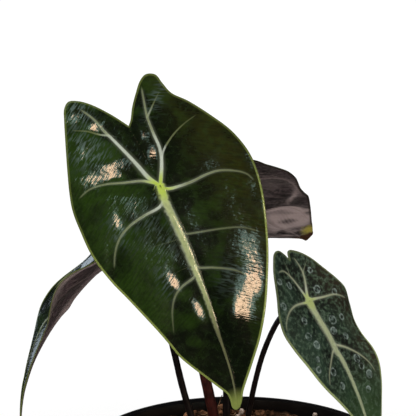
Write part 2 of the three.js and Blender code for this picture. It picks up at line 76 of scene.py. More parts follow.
# Each leaf hangs from its node, in millimetres and degrees. petiole is the stem's curve up to the node, and
# radii are its foot's, its lower part's and its top's.
# heading turns from the front to the right, tilt is the midrib's angle from straight down, and droop lessens
# it on the way to the tip, with tip_droop more towards the tip and lobe_droop instead behind the node. slant,
# bend and hook turn the midrib sideways. roll, twist and tip_twist turn the blade about it. fold is the rise
# of each half from the midrib, and curl bends it back. waves ripple the margin of the right half (1) or the
# left half (-1), as height, wavelength and phase. drip_tip is how much the veins draw in where the blade
# narrows to its tip.
# quilt, ripple and rib are heights of the relief. midrib gives half widths at places along the blade, and
# sway how far the midrib strays across it. folds are (along, across, reach, breadth, turn, height, slope
# along, slope across) and shape the gloss.
# tones lighten or darken the upper face, painted_sheens lay a painted bluish sheen on it where the wax would
# mirror a dim sky, shades lighten or darken the underside, on the rear leaf as painted light on its ridges
# and painted shade in its hollow and creases, and wilts yellow it, each as (along, across, reach, breadth,
# turn, amount). painted_crinkles lays waves of painted light and shade, as of crinkles, on the underside,
# depth scales how light the green is between the veins, on the left leaf as a painted shade of its upper
# face, and margin how pale the edge is.
LEAVES = {
    "front": dict(
        node=(-28.6, -38, 222.1), heading=0, tilt=30, droop=26, slant=26, bend=10, hook=18, fold=10, curl=18,
        length=86.5, half_width=34,
        petiole=[(-4.5, -5, SOCKET_FLOOR), (-9.1, -6.5, 121.5), (-12.9, -10, 140.6), (-17.7, -16, 164.2),
                 (-22.4, -24, 188.9)],
        radii=(3.1, 2.05, 1.8), quilt=0.5, ripple=0.08, rib=0.75,
        midrib=[(0, 2.1), (8, 2.3), (28, 2.2), (33, 1.85), (37.5, 1.4), (51, 1.15), (57, 0.85), (61, 0.6),
                (70, 0.45), (86.5, 0.35)],
        sway=[(0, 0), (6, -0.9), (20, -0.8), (30, -0.9), (45, -1.0), (54, -1.4), (62, -1.2), (72, -0.85),
              (86.5, -0.6)],
        folds=[(17, 0, 26, 6.5, 0, 1.5, 0, 0), (-37.4, -14.6, 6, 5, 0, 0, -0.39, 0.04),
               (-31, -11.5, 4, 3.5, 0, 0, -0.49, -0.03), (-24.4, -17.6, 7, 6.5, 0, 0, -0.26, -0.06),
               (-14.4, -13.6, 8, 4, 45, 0, -0.19, -0.2), (-13, -20.5, 10, 3.5, 66, 0, -0.06, -0.17),
               (-19.5, 3, 5, 3, 0, 0, -0.41, -0.13), (-13, 3.6, 5, 3, 0, 0, -0.42, -0.21),
               (5, -20, 3.6, 2.4, 0, 0, -0.03, -0.17), (33.5, -9.5, 4.5, 3.5, 0, 0, 0.09, -0.26),
               (47, -5, 4.5, 3, 0, 0, 0.07, -0.31), (34, 19, 9, 7, 10, 0, 0.06, -0.01),
               (45.5, 15, 16, 9, -40, 0, 0.14, -0.25), (44.5, 19.5, 7, 5.5, -52, 0, 0, -0.28),
               (51.5, 9, 9, 6, -52, 0, 0.07, -0.39), (4, -8, 8, 7, 0, 0, 0.1, -0.02),
               (14, -4.5, 6, 4, 0, 0, -0.02, 0.06), (29.5, -4, 6, 3, 0, 0, 0.16, -0.04),
               (8, 28, 14, 7, 0, 0, 0, 0.12)],
        tones=[(-12, 11, 20, 8, -5, -0.35), (-27, -6, 14, 6, 15, -0.3), (57, -14, 14, 7, -20, -0.4),
               (66, 3, 14, 6, -20, -0.3), (30, 2.5, 22, 2.5, 0, -0.25), (-1, 21, 9, 7, 0, -0.35)],
        # A painted bluish sheen: a painted reflection of a dim sky in the wax.
        painted_sheens=[(-30.5, 15.2, 8, 3.2, -59, 0.45), (-24, -18, 8, 6, 30, 0.95), (-39, -14, 5, 5, 0, 1.0),
               (16, -9, 10, 6, 20, 0.4), (9, -21, 6, 3, 10, 0.6), (33, -13, 6, 3, 0, 0.5),
               (38, 15, 9, 5, -60, 0.5)],
    ),
    "right": dict(
        node=(25.9, -25, 174), heading=52, tilt=37, droop=26, lobe_droop=-41, slant=6.7, bend=-2.2, fold=11,
        curl=24, length=63, half_width=22, waves={1: (2.4, 37, -0.667)},
        petiole=[(0.6, 0, SOCKET_FLOOR), (3.9, -1.5, 119.6), (6.5, -4, 134.3), (9.8, -9.5, 149),
                 (15.2, -16, 163.6), (19.6, -19.5, 169.4)],
        radii=(2.2, 1.15, 1.05), quilt=0.35, ripple=0.25, rib=0.4,
        midrib=[(0, 2.4), (5, 2.2), (20, 2.1), (24, 1.6), (30, 1.3), (45, 0.9), (63, 0.35)],
        sway=[(0, 0), (3, -0.9), (7, -1.3), (12, -1.2), (16, -0.9), (21, -0.9), (26, -0.1), (63, 0)],
        tones=[(0, 12, 12, 7, 0, -0.5), (-8, 13, 8, 6, 0, -0.3), (12, -9, 14, 5, 0, -0.25),
               (-6, 0, 14, 20, 0, -0.3)],
    ),
    "rear": dict(
        node=(-9.6, 34, 200), heading=146, tilt=59, droop=-2.2, roll=-29.5, fold=4.4, curl=20.8, length=79.5,
        half_width=29.8,
        petiole=[(-4.2, 5, SOCKET_FLOOR), (-4.2, 6, 116.8), (-4.2, 7.5, 128.5), (-4.5, 11.5, 149.8),
                 (-6, 19, 173.5)],
        radii=(2.6, 1.45, 1.3), quilt=0.5, ripple=0.3, rib=0.5,
        folds=[(28, -15.5, 9, 8, -40, -0.6, 0.3, 0.2), (49, -6, 7, 12, 45, 0, -0.3, -0.2),
               (41.5, -8.6, 9, 2.2, -45, 0.5, 0, 0), (34, -20, 6, 3, -40, 0.5, 0, 0)],
        # Painted shade in the hollow and creases, painted light on the ridges and on the band below the
        # crease.
        shades=[(27.2, -16, 8, 2.8, 38, -1.3), (30, -8.5, 7, 3.5, 38, -0.35), (14, -19, 8, 6, -30, 0.3),
                (31.3, -18.4, 10, 1.4, 35, 1.1), (39.4, -17.3, 5.5, 1.3, 66, -0.8), (50, -7, 8, 15, 45, 0.8),
                (55, 0, 9, 6, 0, 0.6), (58, -9, 7, 5, 0, 0.35),
                (42.2, -7.8, 8, 0.9, -52, 1.2), (36.5, -6.2, 6, 1.9, -50, -0.7), (50.5, -12, 5, 1.1, 5, 0.8),
                (51.8, -4.4, 3.4, 2.2, -30, -0.55), (53.5, -7.6, 2.6, 1.3, -30, -0.5),
                (62, 2.6, 3, 1.8, 30, -1.3), (61, 3, 9, 8, 0, 0.45)],
        # Waves of painted light and shade, as of crinkles, lie over the lower underside.
        wilts=[(71, -5.5, 7, 4, 20, 1.25)], painted_crinkles=0.55, margin=0.25,
        midrib=[(0, 1.6), (30, 1.1), (60, 0.6), (79.5, 0.25)],
    ),
    "left": dict(
        node=(-38.4, -3, 193.4), heading=-91, tilt=46.6, droop=8, tip_droop=40, lobe_droop=50, bend=3.8,
        roll=10.4, twist=-14.2, tip_twist=-10.8, fold=17.3, curl=4.5, length=94.2, half_width=27,
        drip_tip=0.73, waves={1: (3.3, 42, 0.56), -1: (2.7, 42, 0.09)},
        petiole=[(-12.1, 0, SOCKET_FLOOR), (-17.8, 0, 119), (-20.9, 0, 130.4), (-24.6, -0.5, 147.2),
                 (-29.8, -1.5, 169.6)],
        radii=(2.4, 1.4, 1.25), quilt=0.4, ripple=0.3, rib=0.5,
        midrib=[(0, 1.6), (30, 1.1), (60, 0.6), (94.2, 0.25)],
        shades=[(40, 2, 20, 3, 0, 0.5), (26, 13, 12, 6, -10, -0.4), (16, 24, 24, 3.5, -8, 0.55)],
        # depth 0.2 darkens the green of the upper face: a painted shade on the far half, which lies in
        # shadow.
        depth=0.2, margin=0.55,
    ),
}

# Half outlines, from the tip round one half to the notch between the lobes: (along the midrib, across it).
FRONT_RIGHT_HALF = [
    (86.5, -0.6), (85.7, 0.5), (83.5, 1.3), (79.9, 2.2), (76.5, 3.9), (70, 8), (63, 12.8), (54.8, 17.6),
    (45.5, 22.1), (35, 26.7), (24.3, 30.4), (13, 33.5), (3, 34.3), (-6.5, 32.3), (-15, 28.3), (-23.5, 23.6),
    (-29, 19.8), (-34, 18.9), (-38.2, 18.4), (-39.9, 15.7), (-39, 13), (-35.3, 8.9), (-31.2, 5.1), (-26.9, 2),
    (-25.4, 0.2),
]
FRONT_LEFT_HALF = [
    (86.5, -0.6), (85.9, -1.7), (83, -2.4), (80.3, -3.3), (77.2, -5.8), (71.3, -10.3), (65.2, -14.4),
    (60.8, -16.9), (55, -19), (49.7, -20.9), (40.9, -24.3), (34.1, -26.9), (23.9, -30.7), (13, -33),
    (3, -33.1), (-7, -32.2), (-19.2, -28), (-31.8, -22.6), (-39, -19.2), (-42.6, -17.2), (-44.4, -14.6),
    (-43.3, -12), (-39.8, -8.2), (-33, -3.7), (-25.4, 0.2),
]
RIGHT_RIGHT_HALF = [
    (63, 0), (57.5, 3.8), (52, 8.2), (46, 12), (40.5, 14.6), (34, 16.4), (28, 17.2), (21.5, 17),
    (15.5, 18.2), (10, 21), (4.5, 21), (-1, 18), (-4.9, 16), (-8.7, 14.3), (-12.4, 12.5), (-14.9, 10.5),
    (-17.4, 7.6), (-19.1, 4.9), (-19.7, 3.5), (-19.6, 2.5), (-18.8, 2.05), (-17.5, 1.75), (-16.7, 1.5),
]
RIGHT_LEFT_HALF = [
    (63, 0), (57, -3.2), (50.5, -6), (44.5, -8.3), (35, -13.2), (26.7, -17.2), (19.4, -19.3), (12, -21.2),
    (5, -21.6), (-1, -19.5), (-6.7, -15.8), (-13.4, -11.9), (-19.3, -8.1), (-21.3, -6.4), (-22, -4.6),
    (-21.6, -2.7), (-19.3, -0.2), (-17.7, 0.8), (-16.7, 1.5),
]
REAR_RIGHT_HALF = [
    (79.3, 0.8), (77.2, 0.9), (75.4, 1.6), (72.2, 4.3), (69, 7), (64.5, 9.4), (58.8, 12.1), (50.6, 15.1),
    (41.9, 17.3), (32.2, 18.7), (22.5, 20.8), (11.9, 22.7), (2.8, 23.2), (-4.6, 22.2), (-9.9, 20.1),
    (-15.9, 17.3), (-21.9, 14), (-27.8, 11.8), (-28.4, 9.9), (-25.8, 6.5), (-21.2, 2.7), (-17.2, 0),
]
REAR_LEFT_HALF = [
    (79.3, 0.8), (77.8, -2), (76.5, -3.8), (73.6, -5.3), (67.8, -8.2), (61.5, -11.1), (53, -15.3),
    (46.3, -18.4), (39.3, -21.6), (31.6, -24.4), (27, -25.5), (22.7, -26.4), (15.7, -28.7), (12.2, -29.7),
    (4.4, -30.2), (-2.1, -28.4), (-6.7, -26.5), (-10.6, -25.6), (-15.9, -22.2), (-21.9, -18),
    (-27.8, -15.1), (-28.4, -12.7), (-25.8, -8.3), (-21.2, -3.4), (-17.2, 0),
]
# The left leaf narrows to a long drip tip, its right half sooner than its left.
LEFT_RIGHT_HALF = [
    (94.2, 0), (89.9, 0.3), (84.8, 0.7), (78.4, 1.1), (69.7, 1.7), (62.5, 2.6), (57, 4.6), (52, 8.8),
    (46, 15), (38.2, 20.3), (26.7, 24.2), (14.1, 26.4), (3.3, 27), (-4.7, 25.8), (-10.1, 23.4),
    (-16.2, 20.1), (-22.3, 16.3), (-28.4, 13.7), (-29, 11.5), (-26.3, 7.6), (-21.6, 3.1), (-17.5, 0),
]
LEFT_LEFT_HALF = [
    (94.2, 0), (89.9, -0.4), (84.8, -1.1), (78.4, -2), (69.7, -4.6), (59.9, -9.8), (49.6, -16.9),
    (38.2, -21.3), (26.7, -24.2), (14.1, -26.4), (3.3, -27), (-4.7, -25.8), (-10.1, -23.4),
    (-16.2, -20.1), (-22.3, -16.3), (-28.4, -13.7), (-29, -11.5), (-26.3, -7.6), (-21.6, -3.1), (-17.5, 0),
]
OUTLINES = {
    "front": (FRONT_RIGHT_HALF, FRONT_LEFT_HALF),
    "right": (RIGHT_RIGHT_HALF, RIGHT_LEFT_HALF),
    "rear": (REAR_RIGHT_HALF, REAR_LEFT_HALF),
    "left": (LEFT_RIGHT_HALF, LEFT_LEFT_HALF),
}

# Veins as (half width at the root, half width at the end, control points), in millimetres on the blade.
FRONT_VEINS = [
    (0.85, 0.32, [(0, 0), (-4.2, -2.3), (-10.2, -3.8), (-18.5, -6), (-26.4, -8.1), (-35.2, -10.3),
                  (-42, -13.5)]),
    (0.55, 0.25, [(-2, -1.4), (-4.8, -4.9), (-7.4, -11.6), (-9.9, -18.9), (-10.3, -24.4), (-8.6, -30)]),
    (0.62, 0.25, [(2.5, 0), (6.5, -2.9), (7.4, -10.1), (8.6, -16.2), (11.2, -21.4), (15.3, -25),
                  (22.6, -28.6)]),
    (0.5, 0.18, [(33.5, 0), (35.3, -2.7), (36.6, -7.3), (38.7, -10.8), (43.1, -13.8), (53.3, -16.8)]),
    (0.05, 0.05, [(58, 0), (61.5, -3.5), (65, -7), (69, -9.5)]),
    (0.75, 0.28, [(0, 0), (-6, 3.5), (-12.7, 6.2), (-19.2, 6.9), (-25.9, 8), (-31.5, 9.9), (-38.6, 12.6)]),
    (0.6, 0.22, [(0.5, 0), (2.2, 2.6), (3, 6.8), (3.4, 11.6), (3.3, 17.2), (4.1, 22.5), (9, 30.3), (14, 32)]),
    (0.36, 0.22, [(18.5, 0), (19.6, 1.2), (21, 6.1), (22.9, 13.6), (25.3, 20.8), (29.5, 27)]),
    (0.42, 0.2, [(32, 0), (32.9, 1.4), (34.8, 6.2), (38.9, 13.4), (46.4, 19.8)]),
    (0.05, 0.05, [(54, 0), (56, 4), (58.5, 8), (62, 11)]),
]
FRONT_BRANCHES = [
    (0.45, 0.2, [(-26, -8), (-27.8, -10.4), (-30.8, -14), (-34.2, -19.5)]),
    (0.22, 0.1, [(19.5, 0), (20.2, -3), (19.3, -12.6), (20.5, -18)]),
    (0.2, 0.08, [(31.5, 0), (31, -6), (32.5, -13)]),
    (0.45, 0.18, [(-9, 4.9), (-11.3, 6.8), (-14.5, 12.1), (-16.6, 18), (-17.8, 25)]),
    (0.45, 0.15, [(-25.5, 7.9), (-29.9, 13.9), (-32, 17)]),
]
RIGHT_VEINS = [
    (0.64, 0.26, [(0, 0), (-4, -0.3), (-8.1, -1.2), (-11.6, -2.6), (-14.6, -5.3), (-14.9, -9.3)]),
    (0.56, 0.24, [(0.6, 0), (-0.3, -3.5), (-1.2, -9.3), (-0.3, -14.2), (2.7, -18.6), (6, -20.6)]),
    (0.52, 0.23, [(19, 0), (20.7, -3), (23.2, -7), (26.7, -11.2), (31, -13.6)]),
    (0.64, 0.26, [(0, 0), (-1.9, 0.9), (-7.3, 3.8), (-10.3, 4.8), (-14.7, 4.4), (-17.5, 3.4)]),
    (0.58, 0.26, [(0, 0), (0.2, 1.6), (1.7, 7.1), (3.4, 13.5), (7.3, 19.6)]),
    (0.52, 0.23, [(18.5, 0), (19.3, 1), (21.8, 4.4), (26.4, 9), (31, 11.8), (37, 13.4)]),
]
RIGHT_BRANCHES = [
    (0.35, 0.12, [(-11.4, -2.5), (-14.7, -2), (-18.5, -2.4)]),
    (0.35, 0.12, [(-10, 4.7), (-12.7, 8.6), (-13.4, 10.2)]),
]
# Dried droplets on the right leaf: (along, across, radius).
DROPLET_MARKS = [
    (-8.7, -6.2, 1.3), (-11.9, -10.3, 1.1), (-2, 6.6, 1.4), (2.4, 13.7, 1.1), (10.7, 5.1, 1.6),
    (14.3, 2.8, 1.3), (10.8, -12, 1.4), (14.9, -10.3, 1.4), (27.8, 7.3, 1.5), (31.2, 7.5, 1.1),
    (35.4, 9.5, 1.5), (-3.4, -15.1, 1.3), (11.7, 10.7, 1.1), (22.9, -15.4, 1.1), (26.7, -8.5, 1.4),
    (19.5, -13.5, 0.9), (5.2, -9.5, 1.2), (18.5, 7.5, 1.1), (33, -7, 1.2), (-9.5, 8.5, 1), (40, 6, 1.1),
]
# The common veins of one half, as fractions of the length and of the half width.
COMMON_VEINS = [
    (1.05, 0.35, [(0, 0), (-0.12, 0.13), (-0.3, 0.24), (-0.46, 0.44)]),
    (0.8, 0.3, [(0.01, 0), (0.04, 0.3), (0.06, 0.62), (0.12, 0.88), (0.3, 0.85), (0.48, 0.68)]),
    (0.6, 0.25, [(0.2, 0), (0.24, 0.25), (0.29, 0.5), (0.38, 0.7)]),
    (0.6, 0.2, [(0.42, 0), (0.47, 0.11), (0.54, 0.32), (0.62, 0.42), (0.77, 0.37)]),
]
COMMON_BRANCHES = [
    (0.5, 0.2, [(-0.12, 0.13), (-0.17, 0.36), (-0.2, 0.7)]),
    (0.35, 0.15, [(0.66, 0), (0.72, 0.1), (0.8, 0.2)]),
]

# The photograph's view: how far the camera looks down, how far off it stands, and the point it looks at.
VIEW_DOWN = math.radians(17.3)
VIEW_DISTANCE = 1300.0
VIEW_TARGET = (-11.35, 0.0, 202.3)
LENS = 300.0
SENSOR = 36.0


def linear(hex_colour):
    """An sRGB hex colour as linear red, green, blue."""
    code = np.array([int(hex_colour[i : i + 2], 16) for i in (1, 3, 5)]) / 255
    value = np.where(code <= 0.04045, code / 12.92, ((code + 0.055) / 1.055) ** 2.4)
    return tuple(float(v) for v in value)


def colour(name, description, hex_colour):
    """A colour setting whose default is the hex colour."""
    return FloatVectorProperty(
        name=name, description=description, subtype="COLOR", min=0, max=1, default=linear(hex_colour)
    )


class LeafSettings(bpy.types.PropertyGroup):
    """Sizes and colours of the leaves."""

    thickness: FloatProperty(
        name="Blade thickness", description="Thickness between the veins", default=0.0008, unit="LENGTH"
    )
    margin_thickness: FloatProperty(
        name="Margin thickness", description="Thickness at the margin", default=0.0005, unit="LENGTH"
    )
    deep: colour("Deep green", "Darkest green of the glossy upper face", "#0a0f06")
    moss: colour("Moss green", "Lighter green of the glossy upper face", "#1f320a")
    olive: colour("Olive", "Brownish tone of the glossy upper face", "#232307")
    silver: colour("Silver", "Silvery edges of the main veins", "#a0a796")
    vein: colour("Vein", "Grey green of the main veins", "#7f855a")
    node: colour("Leaf node", "Lime green where the veins meet", "#a6b94a")
    midrib: colour("Midrib", "Upper part of the midrib", "#a7ae79")
    lower_midrib: colour("Lower midrib", "Lower part of the midrib", "#6d6c4a")
    margin: colour("Margin", "Yellow green edge", "#818c45")
    blue_green: colour("Blue green", "Satin upper face of the small leaf", "#0e1512")
    mauve: colour("Mauve", "Underside of the glossy leaves", "#463639")
    old_mauve: colour("Old mauve", "Underside of the old leaf", "#342a2b")
    mauve_vein: colour("Underside vein", "Main veins on the underside", "#8c7a76")
    wilt: colour("Wilted tip", "Yellow patch at the old leaf's tip", "#b3a330")
    scorch: colour("Scorched tip", "Brown end of the old leaf", "#4a2a12")


class StemSettings(bpy.types.PropertyGroup):
    """Colours of the petioles and crown."""

    red: colour("Red stem", "Front petiole", "#431b17")
    dark: colour("Dark stem", "Other petioles", "#1a1413")
    sheath: colour("Sheath", "Papery brown sheaths at the crown", "#573d2a")


class PotSettings(bpy.types.PropertyGroup):
    """Sizes and colours of the pot and its mix."""

    chips: IntProperty(name="Bark chips", description="Chips lying on the mix", default=460, min=10)
    fibres: IntProperty(name="Coir fibres", description="Fibres lying on the mix", default=260, min=10)
    grit: IntProperty(name="Perlite", description="White perlite grains", default=46, min=1)
    chip_length: FloatProperty(
        name="Chip length", description="Longest chip", default=0.0105, unit="LENGTH"
    )
    plastic: colour("Plastic", "Black polypropylene", "#0d0c0d")
    bark: colour("Bark", "Rusty side of the bark chips", "#d2956b")
    bark_dark: colour("Dark bark", "Moist side of the bark chips", "#24170f")
    coir: colour("Coir", "Pale coir fibres", "#c39a76")
    perlite: colour("Perlite", "White grains", "#efd9c8")


class StageSettings(bpy.types.PropertyGroup):
    """The floor and the lamps."""

    floor_radius: FloatProperty(name="Floor radius", description="Round floor", default=0.75, unit="LENGTH")
    paper: colour("Floor", "Matt white paper", "#f7f7f6")
    window: colour("Window", "Cool daylight in the gloss", "#9fc4bb")
    sunlit: colour("Sunlit wall", "Warm light in the gloss", "#ffd7b2")


# Curves and surfaces, as whole arrays.


def smooth_curve(points, count):
    """Evenly spaced points on a centripetal Catmull-Rom curve: in each span, the blend of four neighbours
    whose parameter gaps are the square roots of the distances between them, with the ends mirrored."""
    p = np.asarray(points, float)
    p = np.vstack([2 * p[0] - p[1], p, 2 * p[-1] - p[-2]])
    knots = np.concatenate([[0], np.cumsum(np.sqrt(np.linalg.norm(np.diff(p, axis=0), axis=1)))])
    t = np.linspace(knots[1], knots[-2], 60 * len(p))
    i = np.clip(np.searchsorted(knots, t, side="right") - 1, 1, len(p) - 3)
    k0, k1, k2, k3 = (knots[i + j][:, None] for j in (-1, 0, 1, 2))
    p0, p1, p2, p3 = (p[i + j] for j in (-1, 0, 1, 2))
    t = t[:, None]
    a1 = ((k1 - t) * p0 + (t - k0) * p1) / (k1 - k0)
    a2 = ((k2 - t) * p1 + (t - k1) * p2) / (k2 - k1)
    a3 = ((k3 - t) * p2 + (t - k2) * p3) / (k3 - k2)
    b1 = ((k2 - t) * a1 + (t - k0) * a2) / (k2 - k0)
    b2 = ((k3 - t) * a2 + (t - k1) * a3) / (k3 - k1)
    fine = ((k2 - t) * b1 + (t - k1) * b2) / (k2 - k1)
    reach = np.concatenate([[0], np.cumsum(np.linalg.norm(np.diff(fine, axis=0), axis=1))])
    even = np.linspace(0, reach[-1], count)
    return np.stack([np.interp(even, reach, axis) for axis in fine.T], -1)


def smooth_step(low, high, x):
    """0 below low, 1 above high, and the cubic 3x^2 - 2x^3 between them."""
    x = np.clip((x - low) / (high - low), 0, 1)
    return x * x * (3 - 2 * x)


def turned(angle, at):
    """How far each angle is from another one, from minus half a turn to half a turn."""
    return (angle - at + math.pi) % (2 * math.pi) - math.pi


def gentle_waves(points, sizes, seed):
    """A rolling field of about -1 to 1: the mean of sine waves in seeded directions, one for each
    wavelength."""
    rng = np.random.default_rng(seed)
    turn = rng.uniform(0, 2 * math.pi, (len(sizes), points.shape[-1]))
    way = rng.normal(size=(len(sizes), points.shape[-1]))
    way /= np.linalg.norm(way, axis=1, keepdims=True)
    total = np.zeros(points.shape[:-1])
    for size, shift, direction in zip(sizes, turn, way):
        total += np.sin(points @ direction * 2 * math.pi / size + shift[0])
    return total / len(sizes)


def ribbon(leaf, s):
    """Centre, right hand direction and face normal of the midrib at s millimetres from the node. The centre
    is the running sum of the midrib's direction, which tilts, slants and rolls with s."""
    length = leaf["length"]
    steps = np.linspace(-0.7 * length, 1.25 * length, 1501)
    share = steps / length
    ahead = np.maximum(share, 0)
    droop = np.where(share > 0, leaf["droop"], leaf.get("lobe_droop", leaf["droop"]))
    tilt = np.radians(leaf["tilt"] - droop * share - leaf.get("tip_droop", 0) * ahead**2)[:, None]
    hook = leaf.get("hook", 0) * np.minimum(ahead, 1.05) ** 8
    slant = np.radians(leaf.get("slant", 0) - leaf.get("bend", 0) * share - hook)[:, None]
    turn = leaf.get("roll", 0) + leaf.get("twist", 0) * ahead + leaf.get("tip_twist", 0) * ahead**2
    roll = np.radians(turn)[:, None]
    heading = math.radians(leaf["heading"])
    outward = np.array([math.sin(heading), -math.cos(heading), 0])
    upward = np.array([0, 0, 1.0])
    sideways = np.cross(upward, outward)
    hang = np.sin(tilt) * outward - np.cos(tilt) * upward
    face = np.cos(tilt) * outward + np.sin(tilt) * upward
    along = hang * np.cos(slant) + sideways * np.sin(slant)
    across = sideways * np.cos(slant) - hang * np.sin(slant)
    rolled = across * np.cos(roll) + face * np.sin(roll)
    normal = face * np.cos(roll) - across * np.sin(roll)
    centre = np.vstack([np.zeros(3), np.cumsum((along[1:] + along[:-1]) / 2 * (steps[1] - steps[0]), axis=0)])
    start = np.array([np.interp(0, steps, axis) for axis in centre.T])
    centre += np.array(leaf["node"]) - start
    return [np.stack([np.interp(s, steps, axis) for axis in part.T], -1) for part in (centre, rolled, normal)]


def blade_surface(leaf, s, t):
    """The blade's upper face at s along the midrib and t across: each half rises from the midrib at the fold
    angle and bends back by the curl angle, as an arc, and its margin may wave."""
    centre, across, normal = ribbon(leaf, s)
    width = leaf["half_width"]
    off = np.sqrt(t * t + 1.0) - 1.0
    fold = math.radians(leaf["fold"])
    curl = math.radians(leaf["curl"])
    slope = fold - curl * off / width
    out = width * (math.sin(fold) - np.sin(slope)) / curl
    out = np.where(np.abs(t) < 1e-9, 0, out * np.abs(t) / np.maximum(off, 1e-9))
    rise = width * (np.cos(slope) - math.cos(fold)) / curl
    for side, (height, wavelength, phase) in leaf.get("waves", {}).items():
        wave = height * np.sin(2 * math.pi * (s / wavelength + phase)) * (t / width) ** 2
        rise = rise + np.where(t * side > 0, wave, 0)
    return centre + across * (np.sign(t) * out)[..., None] + normal * rise[..., None]


def offset_from(line, points):
    """Signed distance of each point from a polyline, left of it positive, and how far along (0 to 1) its
    nearest place lies: the least of the distances to its pieces."""
    start = line[:-1]
    piece = line[1:] - start
    gap = points[:, None, :] - start[None]
    along = np.clip((gap * piece).sum(-1) / (piece * piece).sum(-1), 0, 1)
    gap = gap - along[..., None] * piece
    distance = (gap**2).sum(-1)
    k = distance.argmin(1)
    rows = np.arange(len(points))
    side = piece[k, 0] * gap[rows, k, 1] - piece[k, 1] * gap[rows, k, 0]
    return np.where(side < 0, -1, 1) * np.sqrt(distance[rows, k]), (k + along[rows, k]) / len(piece)


def vein_field(points, veins):
    """Signed distance to the nearest vein and that vein's half width there. The sign alternates from vein to
    vein, and the width tapers to nothing at the vein's end and more than 3 mm away from it."""
    nearest = np.full(len(points), 99.0)
    width = np.full(len(points), 0.01)
    for order, (root, end, control) in enumerate(veins):
        offset, along = offset_from(smooth_curve(control, 26), points)
        reach = (root + (end - root) * along) * smooth_step(0, 0.1, 1 - along)
        reach = reach * (1 - smooth_step(2.0, 3.2, np.abs(offset)))
        closer = np.abs(offset) < np.abs(nearest)
        nearest = np.where(closer, offset * (1 if order % 2 else -1), nearest)
        width = np.where(closer, np.maximum(reach, 0.01), width)
    return nearest, width


def veins_of(name):
    """The main veins and the branches of a leaf."""
    if name == "front":
        return FRONT_VEINS, FRONT_BRANCHES
    if name == "right":
        return RIGHT_VEINS, RIGHT_BRANCHES
    leaf = LEAVES[name]
    scaled = []
    for group in (COMMON_VEINS, COMMON_BRANCHES):
        veins = []
        for side in (1, -1):
            for root, end, control in group:
                p = np.array(control, float)
                slim = 1 - leaf.get("drip_tip", 0) * smooth_step(0.4, 0.8, p[:, 0])
                p[:, 0] *= leaf["length"] * np.where(p[:, 0] < 0, 0.66, 1)
                p[:, 1] *= side * leaf["half_width"] * slim
                veins.append((root, end, p))
        scaled.append(veins)
    return scaled


def margin_of(name, count):
    """The whole margin as (along, across) points: tip, right half, notch, left half, evenly spaced."""
    right, left = (smooth_curve(half, count // 2 + 1) for half in OUTLINES[name])
    return np.vstack([right, left[::-1][1:-1]])


# Meshes.


def ring_faces(rings, around):
    """Quads between consecutive closed rings of vertices, ring by ring."""
    ring, step = np.meshgrid(np.arange(rings - 1), np.arange(around), indexing="ij")
    a = (ring * around + step).ravel()
    b = (ring * around + (step + 1) % around).ravel()
    return np.stack([a, a + around, b + around, b], -1)


def fan_faces(centre, first, around, flip):
    """Triangles from a centre vertex to a ring that starts at first."""
    step = np.arange(around)
    a = first + step
    b = first + (step + 1) % around
    faces = np.stack([np.full(around, centre), a, b], -1)
    return faces[:, ::-1] if flip else faces


def tube_faces(rings, around):
    """Faces of a closed tube: its rings, and a fan at each end to the two centres that follow the rings."""
    first = fan_faces(rings * around, 0, around, True)
    last = fan_faces(rings * around + 1, (rings - 1) * around, around, False)
    return [ring_faces(rings, around), first, last]


def new_piece(name, vertices, face_groups, attributes=None, materials=(), face_materials=None, flat=False):
    """A mesh object from vertices in millimetres and arrays of quads and triangles. The faces are turned to
    point outwards if the volume that they enclose comes out negative."""
    vertices = np.asarray(vertices, float)
    volume = 0.0
    for faces in face_groups:
        corner = vertices[faces]
        for k in range(1, faces.shape[1] - 1):
            volume += np.einsum("ij,ij->", corner[:, 0], np.cross(corner[:, k], corner[:, k + 1]))
    if volume < 0:
        face_groups = [faces[:, ::-1] for faces in face_groups]
    mesh = bpy.data.meshes.new(name)
    mesh.vertices.add(len(vertices))
    mesh.vertices.foreach_set("co", (vertices * MM).astype(np.float32).ravel())
    loops = np.concatenate([faces.ravel() for faces in face_groups]).astype(np.int32)
    sizes = np.concatenate([np.full(len(faces), faces.shape[1]) for faces in face_groups])
    mesh.loops.add(len(loops))
    mesh.loops.foreach_set("vertex_index", loops)
    mesh.polygons.add(len(sizes))
    mesh.polygons.foreach_set("loop_start", (np.cumsum(sizes) - sizes).astype(np.int32))
    if face_materials is not None:
        mesh.polygons.foreach_set("material_index", np.concatenate(face_materials).astype(np.int32))
    mesh.update(calc_edges=True)
    mesh.polygons.foreach_set("use_smooth", np.full(len(sizes), not flat))
    for key, values in (attributes or {}).items():
        kind, slot = ("FLOAT_VECTOR", "vector") if values.ndim == 2 else ("FLOAT", "value")
        layer = mesh.attributes.new(key, kind, "POINT")
        layer.data.foreach_set(slot, values.astype(np.float32).ravel())
    for material in materials:
        mesh.materials.append(material)
    mesh.validate()
    piece = bpy.data.objects.new(name, mesh)
    bpy.context.scene.collection.objects.link(piece)
    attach(piece, "root")
    return piece


# Materials.

# Settings that many nodes share: a mix of two colours, a smooth ramp from one range to another, and
# arithmetic.
COLOURS = {"data_type": "RGBA"}
SMOOTH = {"interpolation_type": "SMOOTHSTEP"}
TIMES = {"operation": "MULTIPLY"}
TIMES_PLUS = {"operation": "MULTIPLY_ADD"}
LARGER = {"operation": "MAXIMUM"}


